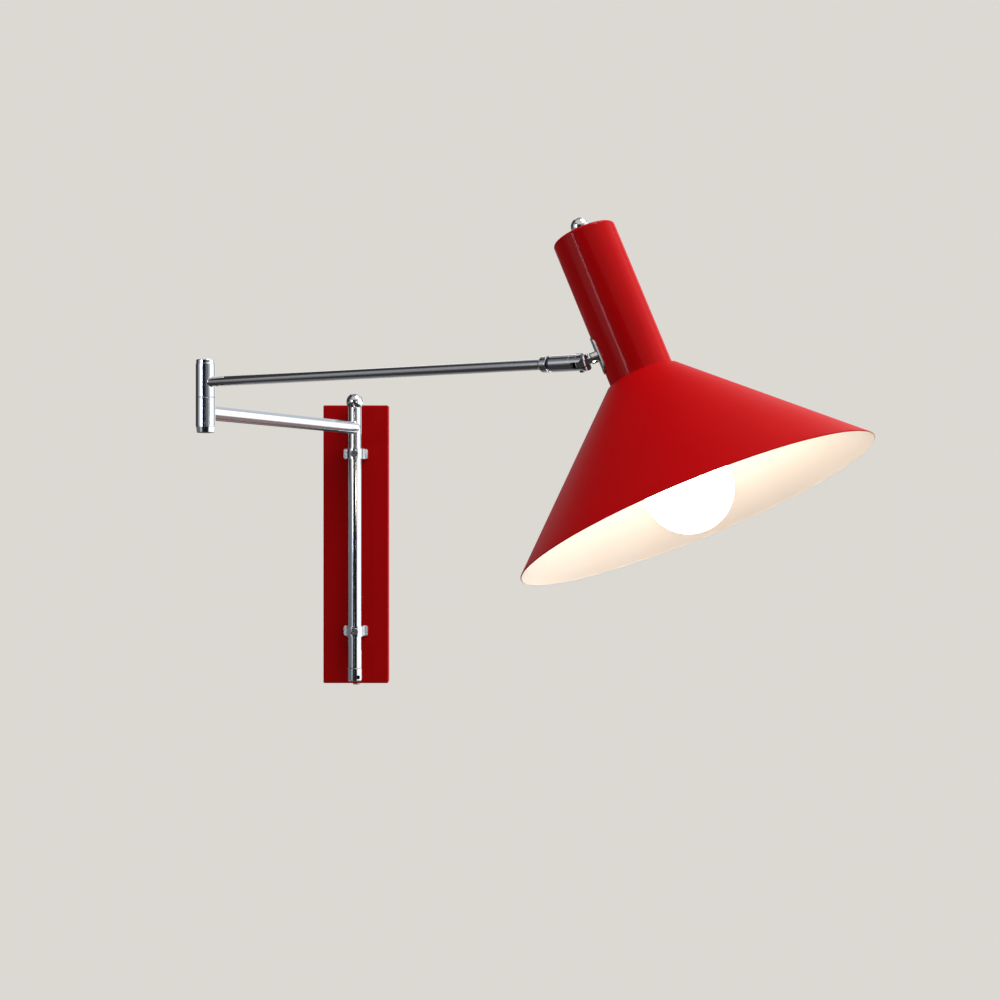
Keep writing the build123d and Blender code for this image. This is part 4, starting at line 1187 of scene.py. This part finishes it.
@dataclass(frozen=True)
class SwivelEnd:
    """The collar on the upper arm's end and the sleeve that rolls on it."""

    arm_radius: float = 4.0
    radius: float = 6.0
    setback: float = 8.0
    sleeve_length: float = 18.6
    sleeve_bearing: float = 8.0
    sleeve_wall: float = 1.0
    spacer_length: float = 2.8
    collar_length: float = 7.8
    collar_taper: float = 2.0
    collar_nose: float = 0.6
    gap: float = 0.05
    edge: float = 0.4

    def build(self) -> None:
        """Builds the collar and the sleeve."""
        line = LINES.upper_arm
        fork = (joint_point("sleeve_roll") - line.foot).length - self.setback
        start = fork - self.sleeve_length
        bore = self.arm_radius + self.gap
        cavity = self.radius - self.sleeve_wall
        sleeve = rounded(
            Corner(bore, start),
            Corner(self.radius, start, self.edge),
            Corner(self.radius, fork, self.edge / 2),
            Corner(cavity, fork),
            Corner(cavity, start + self.sleeve_bearing),
            Corner(bore, start + self.sleeve_bearing),
            closed=True,
        )
        Turning("swivel_sleeve", Body.SWIVEL).build(line, sleeve)
        end = start - self.spacer_length
        begin = end - self.collar_length
        collar = rounded(
            Corner(bore, begin),
            Corner(self.arm_radius + self.collar_nose, begin, self.edge / 4),
            Corner(self.radius, begin + self.collar_taper, self.edge),
            Corner(self.radius, end, self.edge),
            Corner(bore, end),
            closed=True,
        )
        Turning("arm_collar", Body.UPPER_ARM).build(line, collar)


@dataclass(frozen=True)
class Shade:
    """The spun cone: red outside, cream inside, with its rim rolled in to a fine bead.

    Attributes:
        bead_lean: faces on the bead that look outwards by less than this are cream; 1 is straight out.
        wall_lean: the same for the wall above the bead.
    """

    rim_radius: float = 131.88
    rim_drop: float = 128.28
    cone_height: float = 103.18
    top_radius: float = 26.0
    hole_radius: float = 20.15
    sheet: float = 0.8
    bead: float = 0.5
    bead_guard: float = 0.3
    bead_lean: float = 0.5
    wall_lean: float = 0.01
    shoulder: float = 2.0
    segments: int = 192

    @property
    def top(self) -> float:
        """Level of the cone's flat top."""
        return self.cone_height - self.rim_drop

    def section(self) -> Profile:
        """The cone's section.

        Returns:
            Its outside, from the hole to the bead, then the bead, then its inside, back to the hole.
        """
        ring = Vector((self.rim_radius - self.bead, self.bead - self.rim_drop))
        crown = Vector((self.top_radius, self.top))
        lean = asin(self.bead / (crown - ring).length)
        rise = Matrix.Rotation(lean, 2) @ (crown - ring).normalized()
        inward = Vector((-rise.y, rise.x))
        bulge = self.sheet - self.bead
        inner_foot = ring + inward * bulge + rise * sqrt(self.bead**2 - bulge**2)
        start = atan2(-inward.y, -inward.x)
        end = atan2(inner_foot.y - ring.y, inner_foot.x - ring.x)
        sweep = (end - start) % tau - tau
        guard = ring - inward * self.bead + rise * self.bead_guard
        outside = rounded(
            Corner(self.hole_radius, self.top),
            Corner(crown.x, crown.y, self.shoulder),
            Corner(guard.x, guard.y),
        )
        bead = arc(tuple(ring), self.bead, start, sweep)
        slope = -rise.x / rise.y
        inner_crown = self.top_radius + self.sheet * (slope - sqrt(1 + slope**2))
        inside = rounded(
            Corner(inner_foot.x, inner_foot.y),
            Corner(inner_crown, self.top - self.sheet, self.shoulder - self.sheet),
            Corner(self.hole_radius, self.top - self.sheet),
        )
        return outside + bead + inside[1:]

    def build(self) -> None:
        """Builds the cone."""
        shape = turned(LINES.neck, self.section(), self.segments, True)
        middle = LINES.neck.at(0)
        for face in shape.faces:
            centre = face.calc_center_median() - middle
            height = centre.dot(LINES.neck.way)
            radial = (centre - LINES.neck.way * height).normalized()
            on_bead = height / MM < self.bead * 2 - self.rim_drop
            lean = self.bead_lean if on_bead else self.wall_lean
            inner = face.normal.dot(radial) < lean and height / MM < self.top - self.sheet / 2
            face.material_index = 1 if inner else 0
        piece = finished("shade_cone_spun", shape, Finish.RED_SATIN, Finish.CREAM)
        deliver(piece, Body.HEAD, Slot.RED_PAINT, "shade_cone")


@dataclass(frozen=True)
class Lampholder:
    """The shell, the ring that clamps the cone, with its grip ribs, and the thread that it runs on.

    Attributes:
        thread_runout: how far the thread stops short of its ends, as a multiple of its ridge.
    """

    cone_top: float = -25.1
    sheet: float = 0.8
    ring_radius: float = 22.8
    ring_flange: float = 24.5
    ring_height: float = 9.0
    flange_height: float = 2.4
    rib_count: int = 36
    rib: float = 0.9
    holder_radius: float = 20.0
    holder_wall: float = 3.0
    holder_flange: float = 21.75
    holder_flange_height: float = 4.0
    mouth: float = -71.1
    thread_turns: float = 9.0
    thread_ridge: float = 0.7
    thread_runout: float = 2.0
    thread_steps: int = 64
    seat: float = 0.03
    edge: float = 0.8

    def mouldings(self) -> None:
        """Builds the shell and the ring."""
        bore = self.holder_radius - self.holder_wall
        shell = rounded(
            Corner(bore, self.mouth, self.edge),
            Corner(self.holder_radius, self.mouth, self.edge),
            Corner(self.holder_radius, self.cone_top),
            Corner(self.holder_flange, self.cone_top),
            Corner(self.holder_flange, self.cone_top + self.holder_flange_height, self.edge),
            Corner(bore, self.cone_top + self.holder_flange_height),
            closed=True,
        )
        Turning("lampholder_shell", Body.HEAD, Finish.BAKELITE, Slot.BAKELITE).build(LINES.neck, shell)
        top = self.cone_top - self.sheet
        bore = self.holder_radius + self.seat
        ring = rounded(
            Corner(bore, top - self.ring_height),
            Corner(self.ring_radius, top - self.ring_height, self.edge),
            Corner(self.ring_radius, top - self.flange_height),
            Corner(self.ring_flange, top - self.flange_height, self.edge),
            Corner(self.ring_flange, top),
            Corner(bore, top),
            closed=True,
        )
        Turning("shade_ring", Body.HEAD, Finish.BAKELITE, Slot.BAKELITE).build(LINES.neck, ring)

    def build(self) -> None:
        """Builds the shell and the ring, the ribs on the ring and the thread on the shell."""
        self.mouldings()
        ring_foot = self.cone_top - self.sheet - self.ring_height
        ribs = {
            "Radius": self.ring_radius * MM,
            "Rise": (self.ring_height - self.flange_height) * MM,
            "Count": self.rib_count,
            "Ridge": self.rib * MM,
            "Material": Finish.BAKELITE.material(),
        }
        row = grown("shade_ring_ribs", rib_tree(), ribs, place=LINES.neck.matrix(ring_foot))
        deliver(row, Body.HEAD, Slot.BAKELITE)
        runout = self.thread_runout * self.thread_ridge
        thread = {
            "Radius": self.holder_radius * MM,
            "Rise": (ring_foot - self.mouth - 2 * runout) * MM,
            "Turns": self.thread_turns,
            "Ridge": self.thread_ridge * MM,
            "Steps": self.thread_steps,
            "Material": Finish.BAKELITE.material(),
        }
        start = LINES.neck.matrix(self.mouth + runout)
        helix = grown("lampholder_thread", thread_tree(), thread, place=start)
        deliver(helix, Body.HEAD, Slot.BAKELITE)


@dataclass(frozen=True)
class Bulb:
    """The globe bulb's glass: a ball with a short neck in the cap."""

    radius: float = 31.5
    neck: float = 12.5
    shoulder: float = 12.0
    centre: float = -111.4
    glass: float = 1.0
    glass_top: float = -66.0
    segments: int = 128

    def outline(self, inset: float) -> Profile:
        """The glass's section from the ball's pole to the neck.

        Args:
            inset: how far the outline is set in from the outside.

        Returns:
            The section's points.
        """
        ball, curve = self.radius - inset, self.shoulder + inset
        across = self.neck + self.shoulder
        rise = sqrt((ball + curve) ** 2 - across**2)
        turn = atan2(rise, across)
        points = arc((0, self.centre), ball, -pi / 2, turn + pi / 2)
        points += arc((across, self.centre + rise), curve, turn + pi, -turn)[1:]
        return points + [(self.neck - inset, self.glass_top)]

    def build(self) -> None:
        """Builds the glass as an outer and an inner wall."""
        wall = self.outline(0.0) + self.outline(self.glass)[::-1]
        glass = Turning("bulb_globe", Body.HEAD, Finish.OPAL, Slot.LAMP_GLASS, self.segments)
        glass.build(LINES.neck, wall, closed=False)


# The studio


@dataclass(frozen=True)
class Softbox:
    """A rectangular studio light.

    Attributes:
        place: its middle, in metres.
        aim: the point that it faces, in metres.
        size: its width and height, in metres.
        glow: its brightness, where 1 is white.
        colour: its tint.
        mirrored: whether shiny pieces show it.
    """

    name: str
    place: tuple[float, float, float]
    aim: tuple[float, float, float]
    size: tuple[float, float]
    glow: float
    colour: str = "FFFFFF"
    mirrored: bool = True

    def build(self) -> None:
        """Hangs the light."""
        light = bpy.data.lights.new(self.name, "AREA")
        light.shape = "RECTANGLE"
        light.size, light.size_y = self.size
        light.energy = self.glow * pi * self.size[0] * self.size[1]
        light.color = linear(self.colour)[:3]
        lamp = bpy.data.objects.new(self.name, light)
        lamp.location = self.place
        lamp.rotation_euler = (Vector(self.aim) - Vector(self.place)).to_track_quat("-Z", "Y").to_euler()
        lamp.visible_camera = False
        lamp.visible_glossy = self.mirrored
        bpy.context.scene.collection.objects.link(lamp)


class Wall(Enum):
    """Walls of the tent round the lamp: the axis that each is square to, and its place there in metres."""

    LEFT = (0, -1.4)
    RIGHT = (0, 1.95)
    FRONT = (1, -3.6)
    REAR = (1, 2.2)
    FLOOR = (2, -1.1)
    CEILING = (2, 1.6)


class Tone(Enum):
    """Tones of the cards: a colour, and how much brighter than it the card shines."""

    WHITE = ("F5F8FC", 1.5)
    PALE = ("CAD0D8", 1.0)
    GREY = ("9C9C9E", 1.0)
    DIM = ("72767C", 1.0)
    BROWN = ("98827F", 1.0)
    DARK = ("3E3B3A", 1.0)
    BLACK = ("1E1E20", 1.0)

    def material(self) -> bpy.types.Material:
        """Makes the tone's material once.

        Returns:
            A material that shines in mirrors and casts no light of its own.
        """
        name = "card, " + self.name.lower()
        made = bpy.data.materials.get(name)
        if made:
            return made
        material, tree, surface = start_material(name)
        tree.nodes.remove(surface)
        colour, level = self.value
        shine = add_node(tree, "ShaderNodeEmission", feeds={"Color": linear(colour), "Strength": level})
        feed(tree.nodes["Material Output"], {"Surface": shine})
        material.cycles.emission_sampling = "NONE"
        return material


@dataclass(frozen=True)
class Card:
    """A plain card on a wall of the tent, which only mirrors see.

    Attributes:
        name: the card's name.
        tone: its tone.
        wall: the wall that it hangs on.
        first: its ends on the first of the wall's two axes, in metres.
        second: its ends on the second one.
    """

    name: str
    tone: Tone
    wall: Wall
    first: tuple[float, float]
    second: tuple[float, float]

    def build(self) -> None:
        """Hangs the card."""
        axis, place = self.wall.value
        corners = [[self.first[i], self.second[j]] for i, j in ((0, 0), (1, 0), (1, 1), (0, 1))]
        for corner in corners:
            corner.insert(axis, place)
        mesh = bpy.data.meshes.new(self.name)
        mesh.from_pydata(corners, [], [(0, 1, 2, 3)])
        mesh.materials.append(self.tone.material())
        card = bpy.data.objects.new(self.name, mesh)
        card.visible_camera = False
        card.visible_diffuse = False
        card.visible_transmission = False
        card.visible_shadow = False
        bpy.context.scene.collection.objects.link(card)


@dataclass(frozen=True)
class Studio:
    """Pale surroundings, a pale floor, soft lights, cards for the chrome and the camera, in metres."""

    backdrop: str = "DCD9D3"
    fill: float = 0.15
    floor_colour: str = "DEDBD5"
    floor_roughness: float = 0.9
    floor_level: float = -1.15
    floor_radius: float = 2.6
    floor_fade: float = 1.6
    floor_sides: int = 96
    floor_middle: tuple[float, float] = (0.1, -0.4)
    lamp_middle: tuple[float, float, float] = (0.15, -0.4, 0.1)
    camera_place: tuple[float, float, float] = (0.1442, -2.32, 0.04425)
    camera_near: float = 0.05
    focal_share: float = 2.3
    sensor: float = 36.0

    def surroundings(self) -> None:
        """Sets the pale backdrop for sight, mirrors and glass, and a dimmer fill for the rest."""
        world = bpy.data.worlds.new("studio")
        world.use_nodes = True
        bpy.context.scene.world = world
        tree = world.node_tree
        tree.nodes.clear()
        path = add_node(tree, "ShaderNodeLightPath")
        seen = path.outputs["Is Camera Ray"]
        for kind in ("Is Glossy Ray", "Is Transmission Ray"):
            pair = {0: seen, 1: path.outputs[kind]}
            seen = add_node(tree, "ShaderNodeMath", {"operation": "MAXIMUM"}, pair)
        colour = linear(self.backdrop)
        dim = add_node(tree, "ShaderNodeBackground", feeds={"Color": colour, "Strength": self.fill})
        pale = add_node(tree, "ShaderNodeBackground", feeds={"Color": colour, "Strength": 1.0})
        both = add_node(tree, "ShaderNodeMixShader", feeds={0: seen, 1: dim, 2: pale})
        add_node(tree, "ShaderNodeOutputWorld", feeds={"Surface": both})

    def floor(self) -> None:
        """Lays a pale round floor that fades out at its edge."""
        material, tree, surface = start_material("pale studio floor")
        feed(surface, {"Base Color": linear(self.floor_colour), "Roughness": self.floor_roughness})
        centre = Vector((*self.floor_middle, self.floor_level))
        place = add_node(tree, "ShaderNodeTexCoord").outputs["Object"]
        reach = add_node(tree, "ShaderNodeVectorMath", {"operation": "DISTANCE"}, {0: place, 1: centre})
        ends = {"Value": reach.outputs["Value"], "From Min": self.floor_fade, "From Max": self.floor_radius}
        fade = add_node(tree, "ShaderNodeMapRange", {"interpolation_type": "SMOOTHSTEP"}, ends)
        clear = add_node(tree, "ShaderNodeBsdfTransparent")
        both = add_node(tree, "ShaderNodeMixShader", feeds={0: fade, 1: surface, 2: clear})
        feed(tree.nodes["Material Output"], {"Surface": both})
        mesh = bpy.data.meshes.new("studio_floor")
        shape = bmesh.new()
        bmesh.ops.create_circle(shape, cap_ends=True, segments=self.floor_sides, radius=self.floor_radius)
        bmesh.ops.translate(shape, vec=centre, verts=shape.verts)
        shape.to_mesh(mesh)
        shape.free()
        mesh.materials.append(material)
        floor = bpy.data.objects.new("studio_floor", mesh)
        bpy.context.scene.collection.objects.link(floor)

    def camera(self) -> None:
        """Sets the camera level, square to the wall."""
        data = bpy.data.cameras.new("photo_view")
        data.sensor_width = self.sensor
        data.lens = self.sensor * self.focal_share
        data.clip_start = self.camera_near
        camera = bpy.data.objects.new("photo_view", data)
        camera.location = self.camera_place
        camera.rotation_euler = (pi / 2, 0, 0)
        bpy.context.scene.collection.objects.link(camera)
        bpy.context.scene.camera = camera

    def lights(self) -> None:
        """Hangs a key light, soft lights round and behind the lamp, a strip for the neck and two slits."""
        middle = self.lamp_middle
        lights = (
            Softbox("key_upper_right", (1.0, -1.0, 2.2), middle, (1.4, 1.4), 7.6),
            Softbox("window_right", (1.85, 0.0, 0.6), (0.0, 0.0, 0.6), (1.4, 2.0), 3.6, mirrored=False),
            Softbox("soft_upper_left", (-1.4, -0.6, 1.5), middle, (1.0, 1.0), 1.4, mirrored=False),
            Softbox("strip_left", (-1.38, -2.1, 0.45), (0.0, -2.1, 0.45), (0.28, 1.0), 10.0, "DCE8FF"),
            Softbox("slit_upper", (-0.215, -3.5, 0.16), (-0.215, 0.0, 0.16), (0.12, 0.08), 1.3),
            Softbox("slit_lower", (-0.215, -3.5, -0.29), (-0.215, 0.0, -0.29), (0.12, 0.08), 1.3),
            Softbox("soft_back", (0.3, 2.4, 1.4), (0.3, 0.0, 1.0), (2.5, 1.8), 1.0),
        )
        for light in lights:
            light.build()

    def cards(self) -> None:
        """Hangs the cards that give the chrome its dark and light bands."""
        foot, sill, window, high = (-1.1, -0.3), (-0.3, 0.08), (0.08, 0.95), (0.95, 1.6)
        under, over, full = (-1.1, 0.12), (0.12, 1.6), (-1.1, 1.6)
        cards = (
            Card("left_front", Tone.BLACK, Wall.LEFT, (-3.6, -2.3), (-0.3, 0.95)),
            Card("left_window", Tone.WHITE, Wall.LEFT, (-2.3, -1.1), window),
            Card("left_window_edge", Tone.PALE, Wall.LEFT, (-1.1, -0.84), (0.2, 0.95)),
            Card("left_middle", Tone.GREY, Wall.LEFT, (-0.84, -0.38), window),
            Card("left_rear", Tone.DARK, Wall.LEFT, (-0.38, 2.2), (0.08, 1.6)),
            Card("left_sill", Tone.PALE, Wall.LEFT, (-2.3, -1.0), sill),
            Card("left_sill_rear", Tone.DIM, Wall.LEFT, (-1.0, 2.2), sill),
            Card("left_foot", Tone.DARK, Wall.LEFT, (-3.6, 2.2), foot),
            Card("left_top", Tone.DIM, Wall.LEFT, (-3.6, -0.38), high),
            Card("front_low", Tone.BLACK, Wall.FRONT, (-1.4, 1.95), under),
            Card("front_left", Tone.BLACK, Wall.FRONT, (-1.4, 0.35), over),
            Card("front_right", Tone.DIM, Wall.FRONT, (0.35, 1.95), over),
            Card("right_front_low", Tone.DARK, Wall.RIGHT, (-3.6, -2.7), under),
            Card("right_front", Tone.GREY, Wall.RIGHT, (-3.6, -2.7), over),
            Card("right_window_edge", Tone.PALE, Wall.RIGHT, (-2.7, -2.0), full),
            Card("right_window", Tone.WHITE, Wall.RIGHT, (-2.0, 0.7), full),
            Card("right_rear_low", Tone.WHITE, Wall.RIGHT, (0.7, 2.2), under),
            Card("right_rear", Tone.GREY, Wall.RIGHT, (0.7, 2.2), over),
            Card("rear_high", Tone.PALE, Wall.REAR, (-1.4, 1.0), (0.45, 1.6)),
            Card("rear_window", Tone.WHITE, Wall.REAR, (1.0, 1.95), (-0.3, 0.9)),
            Card("rear_foot", Tone.BROWN, Wall.REAR, (-1.4, 1.95), (-1.1, -0.42)),
            Card("rear_left", Tone.DARK, Wall.REAR, (-1.4, 0.12), (-0.42, 0.15)),
            Card("above", Tone.GREY, Wall.CEILING, (-0.8, 0.3), (-0.6, 1.1)),
            Card("above_left", Tone.DARK, Wall.CEILING, (-1.4, -0.8), (-0.6, 2.2)),
            Card("below", Tone.DARK, Wall.FLOOR, (-1.4, 1.95), (-3.6, 0.1)),
            Card("below_rear", Tone.DIM, Wall.FLOOR, (-1.4, 1.95), (0.1, 0.9)),
        )
        for card in cards:
            card.build()

    def build(self) -> None:
        """Builds the studio."""
        self.surroundings()
        self.floor()
        self.lights()
        self.cards()
        self.camera()
        bpy.context.scene.view_settings.view_transform = "Standard"


def dress_nodes() -> None:
    """Gives every CAD node the finish of its slot in the record."""
    slots = {item["node"]: Slot(item["material_slot"]) for item in frame["record"]["subparts"]}
    for name, node in frame["nodes"].items():
        material = NODE_FINISH.get(name, SLOT_FINISH[slots[name]]).material()
        node.data.materials.clear()
        node.data.materials.append(material)
        node.visible_glossy = name not in UNMIRRORED
        LOG.info("%s dressed in %s", name, material.name)


def main() -> None:
    """Builds the lamp's pieces and the studio."""
    logging.basicConfig(level=logging.INFO, format="%(name)s: %(message)s")
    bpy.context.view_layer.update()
    dress_nodes()
    WallBase().build()
    UprightRod().build()
    lower_arm = ArmTube(
        "lower_arm_tube",
        Body.LOWER_ARM,
        radius=6.0,
        wall=1.5,
        length=(LINES.elbow.foot - LINES.rod.foot).length,
        start_post=UprightRod.radius,
        end_post=Elbow.radius,
    )
    lower_arm.build(LINES.lower_arm)
    upper_arm = ArmTube(
        "upper_arm_tube",
        Body.UPPER_ARM,
        radius=SwivelEnd.arm_radius,
        wall=1.2,
        length=387.8,
        start_post=Elbow.radius,
        end_post=0.0,
    )
    upper_arm.build(LINES.upper_arm)
    Elbow().build()
    SwivelEnd().build()
    Shade().build()
    Lampholder().build()
    Bulb().build()
    Studio().build()


if __name__ == "__main__":
    main()
